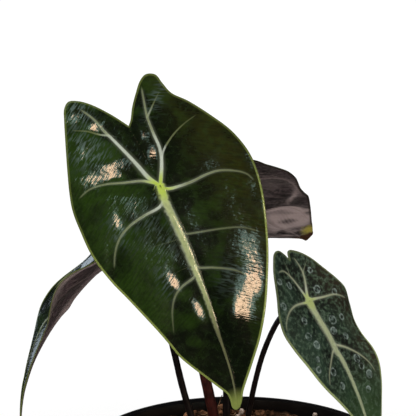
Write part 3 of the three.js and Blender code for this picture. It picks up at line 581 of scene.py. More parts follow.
def add(tree, kind, *values, inputs=None, output=None, **settings):
    """Adds a node of a kind and sets its properties. The values fill the inputs that the node then shows,
    in their order, and inputs fills others by name: a socket is linked, and a number or colour is set.
    Returns the named output, or else the first one that the node shows."""
    made = tree.nodes.new(f"ShaderNode{kind}")
    for key, value in settings.items():
        setattr(made, key, value)
    shown = [socket for socket in made.inputs if socket.enabled]
    pairs = [*zip(shown, values), *((made.inputs[key], value) for key, value in (inputs or {}).items())]
    for socket, value in pairs:
        if isinstance(value, bpy.types.NodeSocket):
            tree.links.new(value, socket)
        else:
            socket.default_value = (*value, 1.0) if socket.type == "RGBA" else value
    if output:
        return made.outputs[output]
    return next((socket for socket in made.outputs if socket.enabled), None)


def blank_material(name):
    """A material with only an output."""
    material = bpy.data.materials.new(name)
    material.use_nodes = True
    material.node_tree.nodes.clear()
    return material, material.node_tree


def vein_mask(tree, kind):
    """Distance from a kind of vein over its half width, 1 on the vein falling to 0 beside it, and how well a
    vein of that width shows."""
    offset = add(tree, "Attribute", attribute_name=f"{kind}_offset", output="Fac")
    width = add(tree, "Attribute", attribute_name=f"{kind}_width", output="Fac")
    distance = add(tree, "Math", offset, operation="ABSOLUTE")
    ratio = add(tree, "Math", distance, width, operation="DIVIDE")
    mask = add(tree, "MapRange", ratio, 0.45, 1.3, 1.0, 0.0, **SMOOTH)
    strength = add(tree, "MapRange", width, 0.04, 0.6, 0.0, 1.0, **SMOOTH)
    return ratio, mask, strength


def leaf_upper_material(leaf, glossy):
    """Living leaf cuticle. The glossy one is waxed dark green, which mirrors the room sharply under fine
    wrinkles of the epidermis; the other is a young satin blue-green blade with dried droplet rings."""
    name = "glossy leaf cuticle" if glossy else "satin young leaf"
    material, tree = blank_material(name)
    place = add(tree, "TexCoord", output="Object")
    tone = add(tree, "Attribute", attribute_name="tone", output="Fac")
    warmth = add(tree, "Attribute", attribute_name="warmth", output="Fac")
    edge = add(tree, "Attribute", attribute_name="edge_distance", output="Fac")
    tip = add(tree, "Attribute", attribute_name="tip_distance", output="Fac")
    node_gap = add(tree, "Attribute", attribute_name="node_distance", output="Fac")
    # Clouds of 9 mm and mottling of 1.6 mm.
    clouds = add(tree, "TexNoise", inputs={"Vector": place, "Scale": 1000 / 9, "Detail": 1.2})
    mottle = add(tree, "TexNoise", inputs={"Vector": place, "Scale": 1000 / 1.6, "Detail": 4.0})
    cloud_mask = add(tree, "MapRange", clouds, 0.36, 0.64, 0.0, 1.0, **SMOOTH)
    mottle_mask = add(tree, "MapRange", mottle, 0.35 if glossy else 0.42, 0.68, 0.0, 1.0, **SMOOTH)
    if glossy:
        dark, light, third = leaf.deep, leaf.moss, leaf.olive
        speck, mesh, main_vein = linear("#26390f"), linear("#26361b"), leaf.vein
    else:
        dark, light, third = leaf.blue_green, linear("#2b3e31"), linear("#453a29")
        speck, mesh, main_vein = linear("#546a51"), linear("#6f8071"), linear("#bdc19c")
    patchy = add(tree, "Math", cloud_mask, 0.7, tone, **TIMES_PLUS)
    patchy = add(tree, "MapRange", patchy, 0.25, 1.4 if glossy else 1.25, 0.0, 1.0, **SMOOTH)
    shade = add(tree, "Mix", patchy, dark, light, **COLOURS)
    warm = add(
        tree, "Math", warmth,
        add(tree, "MapRange", clouds, 0.3, 0.55, 0.45, 1.0, **SMOOTH) if glossy else 0.5, **TIMES,
    )
    shade = add(tree, "Mix", warm, shade, third, **COLOURS)
    speckled = add(
        tree, "Math", mottle_mask,
        add(tree, "MapRange", patchy, 0.0, 0.8, 0.08, 0.36, **SMOOTH) if glossy else 0.58, **TIMES,
    )
    shade = add(tree, "Mix", speckled, shade, speck, **COLOURS)
    # Wrinkles of the epidermis run out from the midrib: under a millimetre apart and four millimetres long.
    outward = add(tree, "Attribute", attribute_name="wrinkle", output="Vector")
    wrinkles = add(tree, "TexNoise", inputs={"Vector": outward, "Scale": 1.0, "Detail": 2.0})
    streaks = add(tree, "MapRange", wrinkles, 0.42, 0.66, 0.0, 1.0, **SMOOTH)
    shade = add(tree, "Mix", add(tree, "Math", streaks, 0.42, **TIMES), shade, dark, **COLOURS)
    if not glossy:
        # The young leaf is a clearer green towards its tip.
        shade = add(
            tree, "Mix", add(tree, "MapRange", tip, 12.0, 38.0, 0.65, 0.0, **SMOOTH), shade,
            linear("#3d5831"), **COLOURS,
        )
    # A net of fine veins, a few millimetres between meshes, a little lighter than the cells between them.
    net = add(
        tree, "TexVoronoi", inputs={"Vector": place, "Scale": 1000 / (3.6 if glossy else 2.2)},
        feature="DISTANCE_TO_EDGE",
    )
    net_mask = add(tree, "MapRange", net, 0.02, 0.16, 0.2 if glossy else 0.3, 0.0, **SMOOTH)
    shade = add(tree, "Mix", add(tree, "Math", net_mask, mottle_mask, **TIMES), shade, mesh, **COLOURS)
    if not glossy:
        gap = add(tree, "Attribute", attribute_name="droplet_offset", output="Fac")
        inside = add(
            tree, "Math", add(tree, "MapRange", gap, -0.5, 0.0, 0.6, 0.0, **SMOOTH),
            add(tree, "MapRange", mottle, 0.43, 0.58, 0.0, 1.0, **SMOOTH), **TIMES,
        )
        shade = add(tree, "Mix", inside, shade, linear("#6d7c76"), **COLOURS)
        ring = add(tree, "Math", gap, operation="ABSOLUTE")
        broken = add(
            tree, "Math", add(tree, "MapRange", ring, 0.05, 0.45, 0.75, 0.0, **SMOOTH),
            add(tree, "MapRange", mottle, 0.38, 0.6, 0.15, 1.0, **SMOOTH), **TIMES,
        )
        shade = add(tree, "Mix", broken, shade, linear("#98a69e"), **COLOURS)
    # Veins: a dim silvery bloom beside them, then branches, main veins and the midrib with its silvery edges.
    _, branch, branch_strength = vein_mask(tree, "branch")
    main_ratio, main, main_strength = vein_mask(tree, "vein")
    rib_ratio, midrib, _ = vein_mask(tree, "midrib")
    bloom = add(
        tree, "Math", add(tree, "MapRange", main_ratio, 0.8, 3.0, 0.14, 0.0, **SMOOTH), main_strength, **TIMES
    )
    shade = add(
        tree, "Mix", bloom, shade, add(tree, "Mix", 0.5, main_vein, leaf.silver, **COLOURS), **COLOURS
    )
    sides = add(
        tree, "Math", add(tree, "MapRange", main_ratio, 0.25, 0.75, 0.15, 1.0, **SMOOTH),
        add(tree, "MapRange", mottle, 0.38, 0.6, 0.45, 1.0, **SMOOTH), **TIMES,
    )
    sides = add(tree, "Math", sides, main_strength, **TIMES)
    vein = add(tree, "Mix", sides, main_vein, leaf.silver if glossy else linear("#a3a68d"), **COLOURS)
    # The widest veins are painted paler still, a painted highlight on their ridges.
    vein = add(
        tree, "Mix", add(tree, "MapRange", main_strength, 0.9, 1.0, 0.0, 0.8, **SMOOTH), vein,
        linear("#c4cbbb"), **COLOURS,
    )
    strength = 0.85 if glossy else 0.8
    shade = add(
        tree, "Mix",
        add(tree, "Math", add(tree, "Math", branch, branch_strength, **TIMES), strength, **TIMES), shade,
        vein, **COLOURS,
    )
    shade = add(
        tree, "Mix", add(tree, "Math", add(tree, "Math", main, main_strength, **TIMES), strength, **TIMES),
        shade, vein, **COLOURS,
    )
    if glossy:
        core = add(
            tree, "Mix", add(tree, "MapRange", node_gap, 36, 60, 0.0, 1.0, **SMOOTH), leaf.midrib,
            leaf.lower_midrib, **COLOURS,
        )
    else:
        core = add(
            tree, "Mix", add(tree, "MapRange", node_gap, 4, 44, 0.0, 1.0, **SMOOTH), linear("#c3ca9c"),
            linear("#b3bb93"), **COLOURS,
        )
    core = add(
        tree, "Mix", add(tree, "MapRange", mottle, 0.35, 0.55, 0.2, 0.0, **SMOOTH), core, speck, **COLOURS
    )
    silvery = add(
        tree, "Math", add(tree, "MapRange", rib_ratio, 0.35, 0.85, 0.0, 0.6, **SMOOTH),
        add(tree, "MapRange", node_gap, 20, 62, 1.0, 0.2, **SMOOTH), **TIMES,
    )
    rib = add(tree, "Mix", silvery, core, leaf.silver, **COLOURS)
    # The midrib's flanks are grainy: its mask follows the mottling near its edges.
    ragged = add(tree, "Math", mottle, 1.6, rib_ratio, **TIMES_PLUS)
    midrib = add(
        tree, "Math", midrib, add(tree, "MapRange", ragged, 1.35, 1.85, 1.0, 0.25, **SMOOTH), **TIMES
    )
    shade = add(
        tree, "Mix", add(tree, "Math", midrib, 0.95 if glossy else 0.85, **TIMES), shade, rib, **COLOURS
    )
    any_vein = add(tree, "Math", main, midrib, **LARGER)
    lime = add(
        tree, "Math", add(tree, "MapRange", node_gap, 2.0, 8.0 if glossy else 5.0, 1.0, 0.0, **SMOOTH),
        any_vein, **TIMES,
    )
    shade = add(tree, "Mix", lime, shade, leaf.node if glossy else linear("#b3bf79"), **COLOURS)
    # A painted bluish sheen, broken into streaks by the wrinkles, stands in for a dim sky that the wax
    # mirrors.
    painted_sheen = add(tree, "Attribute", attribute_name="painted_sheen", output="Fac")
    painted_sheen = add(tree, "Math", painted_sheen, add(tree, "MapRange", wrinkles, 0.46, 0.62, 0.0, 0.7, **SMOOTH), **TIMES)
    shade = add(tree, "Mix", painted_sheen, shade, linear("#5f7069"), **COLOURS)
    # The margin is a clear olive line, and the last centimetre of the tip pales to it.
    margin = add(tree, "Attribute", attribute_name="margin", output="Fac")
    thin_edge = add(
        tree, "Math", margin, add(tree, "MapRange", edge, 0.25, 0.65, 1.0, 0.0, **SMOOTH), **TIMES
    )
    pale = add(tree, "Math", thin_edge, add(tree, "MapRange", tip, 2.5, 9.0, 0.95, 0.0, **SMOOTH), **LARGER)
    shade = add(tree, "Mix", pale, shade, leaf.margin if glossy else linear("#98a46c"), **COLOURS)
    swells = add(tree, "TexNoise", inputs={"Vector": place, "Scale": 1000 / 3.6, "Detail": 2.0})
    height = add(tree, "Math", swells, 1.1, add(tree, "Math", wrinkles, 0.8, **TIMES), **TIMES_PLUS)
    height = add(tree, "Math", mottle, 0.3, height, **TIMES_PLUS)
    bump = add(
        tree, "Bump", inputs={"Height": height, "Strength": 0.7 if glossy else 0.5, "Distance": 0.00024}
    )
    shader = add(
        tree, "BsdfPrincipled",
        inputs={
            "Base Color": shade,
            "Roughness": 0.42 if glossy else 0.6,
            "IOR": 1.42,
            "Specular IOR Level": 0.12 if glossy else 0.3,
            "Coat Weight": 1.0 if glossy else 0.05,
            "Coat Roughness": 0.1 if glossy else 0.4,
            "Normal": bump,
            "Coat Normal": bump,
        },
    )
    add(tree, "OutputMaterial", inputs={"Surface": shader})
    return material


def leaf_under_material(name, leaf, base, dark, vein, wilting=False):
    """Underside of a leaf: matt, mauve with anthocyanin, with raised pale veins and a net of small ones."""
    material, tree = blank_material(name)
    place = add(tree, "TexCoord", output="Object")
    edge = add(tree, "Attribute", attribute_name="edge_distance", output="Fac")
    tip = add(tree, "Attribute", attribute_name="tip_distance", output="Fac")
    tone = add(tree, "Attribute", attribute_name="under_tone", output="Fac")
    clouds = add(tree, "TexNoise", inputs={"Vector": place, "Scale": 1000 / 8, "Detail": 4.0})
    fine = add(tree, "TexNoise", inputs={"Vector": place, "Scale": 1000 / 1.3, "Detail": 3.0})
    shade = add(
        tree, "Mix", add(tree, "MapRange", clouds, 0.36, 0.66, 0.0, 1.0, **SMOOTH), base, dark, **COLOURS
    )
    shade = add(
        tree, "Mix", add(tree, "MapRange", fine, 0.4, 0.7, 0.0, 0.3, **SMOOTH), shade, vein, **COLOURS
    )
    # The tone lightens or darkens: pale vein bands and patches, and on the old leaf painted light and shade.
    shade = add(
        tree, "Mix", add(tree, "MapRange", tone, 0.0, 1.1, 0.0, 0.85, **SMOOTH), shade, linear("#b9a39e"),
        **COLOURS,
    )
    shade = add(
        tree, "Mix", add(tree, "MapRange", tone, -1.0, 0.0, 0.85, 0.0, **SMOOTH), shade, linear("#15120f"),
        **COLOURS,
    )
    outward = add(tree, "Attribute", attribute_name="wrinkle", output="Vector")
    wrinkles = add(tree, "TexNoise", inputs={"Vector": outward, "Scale": 0.6, "Detail": 3.0})
    shade = add(
        tree, "Mix", add(tree, "MapRange", wrinkles, 0.45, 0.65, 0.0, 0.14, **SMOOTH), shade, vein, **COLOURS
    )
    _, branch, _ = vein_mask(tree, "branch")
    _, main, strength = vein_mask(tree, "vein")
    _, midrib, _ = vein_mask(tree, "midrib")
    soft = add(tree, "Math", branch, main, **LARGER)
    soft = add(tree, "Math", add(tree, "Math", soft, strength, **TIMES), 0.5, **TIMES)
    soft = add(tree, "Math", soft, add(tree, "Math", midrib, 0.6, **TIMES), **LARGER)
    shade = add(tree, "Mix", soft, shade, vein, **COLOURS)
    edge_shade = linear("#33271f") if wilting else linear("#6a6250")
    shade = add(
        tree, "Mix", add(tree, "MapRange", edge, 0.25, 0.8, 0.8, 0.0, **SMOOTH), shade, edge_shade, **COLOURS
    )
    if wilting:
        wilt = add(tree, "Attribute", attribute_name="wilt", output="Fac")
        blotched = add(tree, "Math", fine, 1.0, wilt, **TIMES_PLUS)
        ragged = add(tree, "Math", fine, 4.0, tip, **TIMES_PLUS)
        shade = add(
            tree, "Mix", add(tree, "MapRange", blotched, 0.8, 1.75, 0.0, 0.95, **SMOOTH), shade, leaf.wilt,
            **COLOURS,
        )
        shade = add(
            tree, "Mix", add(tree, "MapRange", ragged, 8.0, 10.4, 1.0, 0.0, **SMOOTH), shade, leaf.scorch,
            **COLOURS,
        )
    swells = add(
        tree, "TexNoise", inputs={"Vector": place, "Scale": 1000 / 3.5, "Detail": 3.0, "Distortion": 0.6}
    )
    height = add(tree, "Math", wrinkles, 0.6, swells, **TIMES_PLUS)
    bump = add(tree, "Bump", inputs={"Height": height, "Strength": 0.7, "Distance": 0.0006})
    shader = add(
        tree, "BsdfPrincipled",
        inputs={"Base Color": shade, "Roughness": 0.5, "IOR": 1.42, "Normal": bump},
    )
    add(tree, "OutputMaterial", inputs={"Surface": shader})
    return material


def stem_material(name, skin, foot, blotch):
    """Petiole skin: smooth, waxy and satin, with fine lengthwise streaks and small darker blotches."""
    material, tree = blank_material(name)
    place = add(tree, "TexCoord", output="Object")
    along = add(tree, "Attribute", attribute_name="along", output="Fac")
    stretched = add(tree, "Mapping", inputs={"Vector": place, "Scale": (1.0, 1.0, 0.12)})
    # Streaks 0.7 mm wide and about 6 mm long.
    streaks = add(tree, "TexNoise", inputs={"Vector": stretched, "Scale": 1000 / 0.7, "Detail": 3.0})
    blotches = add(tree, "TexNoise", inputs={"Vector": place, "Scale": 1000 / 2.6, "Detail": 2.0})
    streak_mask = add(tree, "MapRange", streaks, 0.35, 0.7)
    blotch_mask = add(tree, "MapRange", blotches, 0.5, 0.62, 0.0, 0.55)
    shade = add(tree, "Mix", streak_mask, skin, tuple(1.7 * c for c in skin), **COLOURS)
    shade = add(tree, "Mix", blotch_mask, shade, blotch, **COLOURS)
    low = add(tree, "MapRange", along, 0.02, 0.22, 0.75, 0.0, **SMOOTH)
    shade = add(tree, "Mix", low, shade, foot, **COLOURS)
    high = add(tree, "MapRange", along, 0.82, 1.0, 0.0, 0.6, **SMOOTH)
    shade = add(tree, "Mix", high, shade, linear("#3d4420"), **COLOURS)
    bump = add(tree, "Bump", inputs={"Height": streaks, "Strength": 0.4, "Distance": 0.0002})
    shader = add(
        tree, "BsdfPrincipled",
        inputs={"Base Color": shade, "Roughness": 0.38, "IOR": 1.45, "Normal": bump},
    )
    add(tree, "OutputMaterial", inputs={"Surface": shader})
    return material


def plastic_material(pot):
    """Black polypropylene, injection moulded: satin, faintly pebbled, with dried lime, and a painted pale
    highlight along the rim's top outer edge.
    """
    material, tree = blank_material("moulded black polypropylene")
    place = add(tree, "TexCoord", output="Object")
    pebbles = add(tree, "TexNoise", inputs={"Vector": place, "Scale": 1000 / 0.8, "Detail": 2.0})
    dust = add(tree, "TexNoise", inputs={"Vector": place, "Scale": 1000 / 14, "Detail": 6.0})
    dust_mask = add(tree, "MapRange", dust, 0.5, 0.78, 0.0, 0.3)
    shade = add(tree, "Mix", dust_mask, pot.plastic, linear("#201f1d"), **COLOURS)
    # A painted pale grey-green highlight on the rim's top outer edge, where it catches the light.
    height = add(tree, "SeparateXYZ", place, output="Z")
    level = add(tree, "Mapping", inputs={"Vector": place, "Scale": (1.0, 1.0, 0.0)})
    radius = add(tree, "VectorMath", level, operation="LENGTH")
    painted_rim_highlight = add(
        tree, "Math", add(tree, "MapRange", height, 0.1043, 0.1049, 0.0, 0.85, **SMOOTH),
        add(tree, "MapRange", radius, 0.0589, 0.0596, 0.0, 1.0, **SMOOTH), **TIMES,
    )
    shade = add(tree, "Mix", painted_rim_highlight, shade, linear("#7b7f74"), **COLOURS)
    rough = add(tree, "MapRange", dust, 0.3, 0.8, 0.36, 0.6)
    bump = add(tree, "Bump", inputs={"Height": pebbles, "Strength": 0.25, "Distance": 0.0001})
    shader = add(
        tree, "BsdfPrincipled",
        inputs={"Base Color": shade, "Roughness": rough, "IOR": 1.49, "Normal": bump},
    )
    add(tree, "OutputMaterial", inputs={"Surface": shader})
    return material


def bark_material(name, pale, dark, grain_mm):
    """Composted bark and coir: dull and fibrous, each bit its own brown between moist dark and dry rust."""
    material, tree = blank_material(name)
    place = add(tree, "TexCoord", output="Object")
    tone = add(tree, "Attribute", attribute_name="tone", output="Fac")
    grain = add(
        tree, "TexNoise", inputs={"Vector": place, "Scale": 1000 / grain_mm, "Detail": 5.0, "Roughness": 0.65}
    )
    grain_mask = add(tree, "MapRange", grain, 0.35, 0.65)
    shade = add(tree, "Mix", tone, dark, pale, **COLOURS)
    shade = add(tree, "Mix", grain_mask, tuple(0.35 * c for c in dark), shade, **COLOURS)
    bump = add(tree, "Bump", inputs={"Height": grain, "Strength": 0.9, "Distance": 0.0006})
    shader = add(
        tree, "BsdfPrincipled",
        inputs={"Base Color": shade, "Roughness": 0.82, "IOR": 1.4, "Normal": bump},
    )
    add(tree, "OutputMaterial", inputs={"Surface": shader})
    return material


def grit_material(pot):
    """Expanded perlite: chalky white glass foam with small pits."""
    material, tree = blank_material("expanded perlite")
    place = add(tree, "TexCoord", output="Object")
    pits = add(tree, "TexVoronoi", inputs={"Vector": place, "Scale": 1000 / 0.7})
    pit_mask = add(tree, "MapRange", pits, 0.1, 0.5, 0.5, 0.0)
    shade = add(tree, "Mix", pit_mask, pot.perlite, linear("#a98b76"), **COLOURS)
    bump = add(tree, "Bump", inputs={"Height": pits, "Strength": 0.7, "Distance": 0.0003})
    shader = add(
        tree, "BsdfPrincipled",
        inputs={"Base Color": shade, "Roughness": 0.75, "IOR": 1.45, "Normal": bump},
    )
    add(tree, "OutputMaterial", inputs={"Surface": shader})
    return material


# Pieces.


class PLANT_OT_leaf_blades(bpy.types.Operator):
    """Build the four leaf blades"""

    bl_idname = "plant.leaf_blades"
    bl_label = "Leaf blades"

    def execute(self, context):
        settings = context.scene.plant_leaves
        glossy = leaf_upper_material(settings, True)
        satin = leaf_upper_material(settings, False)
        mauve = leaf_under_material(
            "mauve leaf underside", settings, settings.mauve, linear("#342d2a"), settings.mauve_vein
        )
        old = leaf_under_material(
            "mauve underside of the old leaf", settings, settings.old_mauve, linear("#25211d"),
            settings.mauve_vein, wilting=True,
        )
        green = leaf_under_material(
            "grey-green leaf underside", settings, linear("#3f4634"), linear("#2f3628"), linear("#7b8464")
        )
        finishes = {
            "front": (glossy, mauve, "leaf_glossy"),
            "right": (satin, green, "leaf_matte"),
            "rear": (glossy, old, "leaf_glossy"),
            "left": (glossy, mauve, "leaf_glossy"),
        }
        for name, (upper, under, slot) in finishes.items():
            piece = self.blade(name, settings, upper, under)
            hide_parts(f"{name}_leaf_blade")
        return {"FINISHED"}

    def blade(self, name, settings, upper, under):
        """One closed shell. Rings of the margin's shape shrink to the node on the upper face, run round the
        rounded margin and shrink again on the lower face, so the two parameters are the ring and the place
        along the margin. The upper face is lifted between veins and along the midrib, the lower face lies one
        thickness below it, and its veins stand out."""
        leaf = LEAVES[name]
        around = 600 if name == "front" else 480
        upper_rings = 130 if name == "front" else 110
        under_rings = 26
        margin = margin_of(name, around)
        outward = np.roll(margin, -1, 0) - np.roll(margin, 1, 0)
        outward = np.stack([-outward[:, 1], outward[:, 0]], -1)
        outward /= np.linalg.norm(outward, axis=1, keepdims=True)
        centroid = margin.mean(0)
        if ((margin - centroid) * outward).sum() < 0:
            outward = -outward
        up_shares = np.arange(1, upper_rings + 1) / upper_rings
        down_shares = np.arange(under_rings, 0, -1) / under_rings
        rounding = 0.3
        # Depth 0 is the upper face and 1 the lower face.
        shares = np.concatenate([up_shares, [1, 1], down_shares])
        bulge = np.concatenate([np.zeros(upper_rings), [rounding, rounding], np.zeros(under_rings)])
        depth = np.concatenate([np.zeros(upper_rings), [0.25, 0.75], np.ones(under_rings)])
        flat = margin[None] * shares[:, None, None] + outward[None] * bulge[:, None, None]
        flat = np.vstack([flat.reshape(-1, 2), [[0, 0]], [[0, 0]]])
        depth = np.concatenate([np.repeat(depth, around), [0, 1]])
        s, t = flat.T
        fields = self.fields(name, leaf, flat, margin)
        step = 0.3
        point = blade_surface(leaf, s, t)
        forward = blade_surface(leaf, s + step, t) - blade_surface(leaf, s - step, t)
        sideways = blade_surface(leaf, s, t + step) - blade_surface(leaf, s, t - step)
        normal = np.cross(forward, sideways)
        normal /= np.linalg.norm(normal, axis=1, keepdims=True)
        face = ribbon(leaf, s)[2]
        normal *= np.where((normal * face).sum(1) < 0, -1, 1)[:, None]
        top, below = self.relief(leaf, flat, fields, settings)
        vertices = point + normal * (top * (1 - depth) + below * depth)[:, None]
        rings = len(shares)
        is_under = np.repeat(np.arange(rings - 1) >= upper_rings + 1, around)
        return new_piece(
            f"{name}_blade", vertices, tube_faces(rings, around), fields, (upper, under),
            [is_under, np.zeros(around), np.ones(around)],
        )

    def fields(self, name, leaf, flat, margin):
        """Smooth numbers on the blade, in millimetres, that its relief and its materials share."""
        s, t = flat.T
        veins, branches = veins_of(name)
        vein_offset, vein_width = vein_field(flat, veins)
        branch_offset, branch_width = vein_field(flat, branches)
        places, widths = np.array(leaf["midrib"]).T
        midrib_width = np.interp(s, places, widths)
        behind = np.clip(1 + s / 5, 0.01, 1)
        sway = smooth_curve(leaf.get("sway", [(0, 0), (leaf["length"], 0)]), 80).T
        beside_rib = np.abs(t - np.interp(s, *sway))
        closed = np.vstack([margin, margin[:1]])
        edge = np.abs(offset_from(closed[:: max(1, len(margin) // 160)], flat)[0])
        beside = 1 - np.exp(-((np.abs(t) / 7) ** 2))
        between = 1 - 0.45 * np.exp(-((vein_offset / 3) ** 2))
        share = s / leaf["length"]
        depth = leaf.get("depth", 1) * (1 - 0.5 * smooth_step(0.5, 0.8, share))
        outward = np.stack([(s - 0.6 * np.abs(t)) / 0.85, np.abs(t) / 4, np.sign(t) * 9], -1)
        fields = {
            "midrib_offset": np.where(s < 0, np.hypot(s, t), beside_rib),
            "midrib_width": midrib_width * behind,
            "vein_offset": vein_offset,
            "vein_width": vein_width,
            "branch_offset": branch_offset,
            "branch_width": branch_width,
            "edge_distance": edge,
            "tip_distance": np.hypot(leaf["length"] - s, t),
            "node_distance": np.hypot(s, t),
            "tone": (0.1 + beside * between * (0.47 - 0.2 * np.sign(t))) * depth,
            "warmth": smooth_step(0.18, 0.88, t / leaf["half_width"]) * smooth_step(0.95, 0.6, share),
            "margin": leaf.get("margin", 1) * (0.3 + 0.65 * smooth_step(-5, 25, s)),
            "under_tone": 0.2 * np.exp(-((np.abs(vein_offset) / 3.0) ** 2)),
            "painted_sheen": np.zeros(len(flat)),
            "wilt": np.zeros(len(flat)),
            "wrinkle": outward,
        }
        # Waves of painted light and shade, as of crinkles, on leaves that list them; then the listed bells.
        painted_crinkle_waves = gentle_waves(flat, [9, 6.5, 5, 4], 21) * smooth_step(36, 50, s)
        fields["under_tone"] += leaf.get("painted_crinkles", 0) * painted_crinkle_waves
        bells = {"tone": "tones", "under_tone": "shades", "painted_sheen": "painted_sheens", "wilt": "wilts"}
        for field, key in bells.items():
            for along, across, reach, breadth, turn, amount in leaf.get(key, ()):
                fields[field] += amount * self.bell(s - along, t - across, reach, breadth, turn)
        if name == "right":
            marks = np.array(DROPLET_MARKS)
            gaps = np.linalg.norm(flat[:, None, :] - marks[None, :, :2], axis=2) - marks[:, 2]
            nearest = np.abs(gaps).argmin(1)
            fields["droplet_offset"] = gaps[np.arange(len(flat)), nearest]
        return fields

    def bell(self, along, across, reach, breadth, turn):
        """The bell exp(-(u / reach)^2 - (v / breadth)^2), whose axes u and v are turned by some degrees."""
        cos, sin = math.cos(math.radians(turn)), math.sin(math.radians(turn))
        u = along * cos + across * sin
        v = across * cos - along * sin
        return np.exp(-((u / reach) ** 2) - ((v / breadth) ** 2))

    def relief(self, leaf, flat, fields, settings):
        """Heights of the upper and lower face over the blade's surface, in millimetres. Between the veins
        the blade bulges as 1 - exp(-(d / 4)^2) of the distance d to the nearest vein, and each fold adds a
        bell times its height and slopes. The midrib is a round ridge above, and midrib and veins are round
        ridges below."""
        s, t = flat.T
        across_rib = np.abs(fields["midrib_offset"])
        bulge = leaf["quilt"] * (1 - np.exp(-((fields["vein_offset"] / 4) ** 2)))
        small = 0.12 * leaf["quilt"] * (1 - np.exp(-((np.abs(fields["branch_offset"]) / 2.5) ** 2)))
        roll = leaf["ripple"] * gentle_waves(flat, [31, 23, 17, 13], 7)
        quilt = bulge + small + roll
        for along, across, reach, breadth, turn, lift, slope, cant in leaf.get("folds", ()):
            plane = lift + slope * (s - along) + cant * (t - across)
            quilt += plane * self.bell(s - along, t - across, reach, breadth, turn)
        ratio = np.clip(across_rib / fields["midrib_width"], 0, 1)
        ridge = np.sqrt(np.maximum(1 - ratio**2, 0)) * fields["midrib_width"] * 0.5 * leaf["rib"]
        vein_ratio = np.clip(np.abs(fields["vein_offset"]) / fields["vein_width"], 0, 1)
        vein_ridge = np.sqrt(np.maximum(1 - vein_ratio**2, 0)) * fields["vein_width"]
        top = quilt + ridge + 0.22 * leaf["rib"] * vein_ridge
        thin = settings.thickness / MM
        at_margin = settings.margin_thickness / MM
        thickness = at_margin + (thin - at_margin) * smooth_step(0, 4, fields["edge_distance"])
        boss = 1.5 * np.exp(-((fields["node_distance"] / 3.2) ** 2))
        below = quilt - thickness - np.maximum(boss, 1.1 * ridge / max(leaf["rib"], 0.1) + 0.6 * vein_ridge)
        return top, below


class PLANT_OT_petioles(bpy.types.Operator):
    """Build the four petioles"""

    bl_idname = "plant.petioles"
    bl_label = "Petioles"

    def execute(self, context):
        stems = context.scene.plant_stems
        red = stem_material("red petiole skin", stems.red, linear("#3a1a15"), linear("#170a0b"))
        dark = stem_material("dark petiole skin", stems.dark, linear("#241711"), linear("#0a0708"))
        for name in LEAVES:
            material = red if name == "front" else dark
            piece = self.petiole(name, material)
            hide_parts(f"{name}_leaf_petiole")
        return {"FINISHED"}

    def petiole(self, name, material):
        """A tube swept along the petiole's curve. Its radius falls over the foot and stays slim to the blade.
        In the sheath two wings stand on the side that faces the crown's middle, with a groove between them
        that goes on above."""
        leaf = LEAVES[name]
        steps, around = 150, 28
        path = smooth_curve([*leaf["petiole"], leaf["node"]], steps)
        end_normal = ribbon(leaf, np.array([0.0]))[2][0]
        tangent = np.gradient(path, axis=0)
        tangent /= np.linalg.norm(tangent, axis=1, keepdims=True)
        inward = np.array([CROWN_X, 0, 0]) - path[0] * [1, 1, 0]
        inward = inward if np.linalg.norm(inward) > 1e-6 else np.array([1.0, 0, 0])
        side = np.cross(tangent, inward)
        side /= np.linalg.norm(side, axis=1, keepdims=True)
        front = np.cross(side, tangent)
        share = np.linspace(0, 1, steps)
        base, middle, top = leaf["radii"]
        foot = 0.16
        wing_at, wing_breadth, wing_height = 0.75, 0.3, 0.28
        groove_breadth, groove_depth = 0.45, 0.1
        fall = np.clip(share / foot, 0, 1)
        swollen = base + (middle - base) * fall * (2 - fall)
        radius = np.where(share < foot, swollen, middle + (top - middle) * share)
        angle = np.linspace(0, 2 * math.pi, around, endpoint=False)
        wings = sum(np.exp(-((turned(angle, at) / wing_breadth) ** 2)) for at in (wing_at, -wing_at))
        sheath = (1 - smooth_step(0.12, 0.34, share))[:, None] * wings[None] * wing_height
        groove = -groove_depth * np.exp(-((turned(angle, 0) / groove_breadth) ** 2))
        skin = np.stack(np.broadcast_arrays(share[:, None] * 60, angle[None] * 2), -1)
        waver = 0.03 * gentle_waves(skin, [7, 4.3, 2.9], 11)
        reach = radius[:, None] * (1 + sheath + groove[None] + waver)
        ring = np.cos(angle)[None, :, None] * front[:, None] + np.sin(angle)[None, :, None] * side[:, None]
        vertices = path[:, None] + ring * reach[..., None]
        # The top end is cut parallel to the blade, inside its boss.
        stop = np.array(leaf["node"]) - end_normal * 1.2
        last = tangent[-1]
        gap = ((stop - vertices[-1]) @ end_normal) / (last @ end_normal)
        vertices[-1] += gap[:, None] * last
        low = path[0]
        high = vertices[-1].mean(0)
        points = np.vstack([vertices.reshape(-1, 3), low, high])
        along = np.concatenate([np.repeat(share, around), [0, 1]])
        return new_piece(
            f"{name}_petiole", points, tube_faces(steps, around), {"along": along}, (material,)
        )


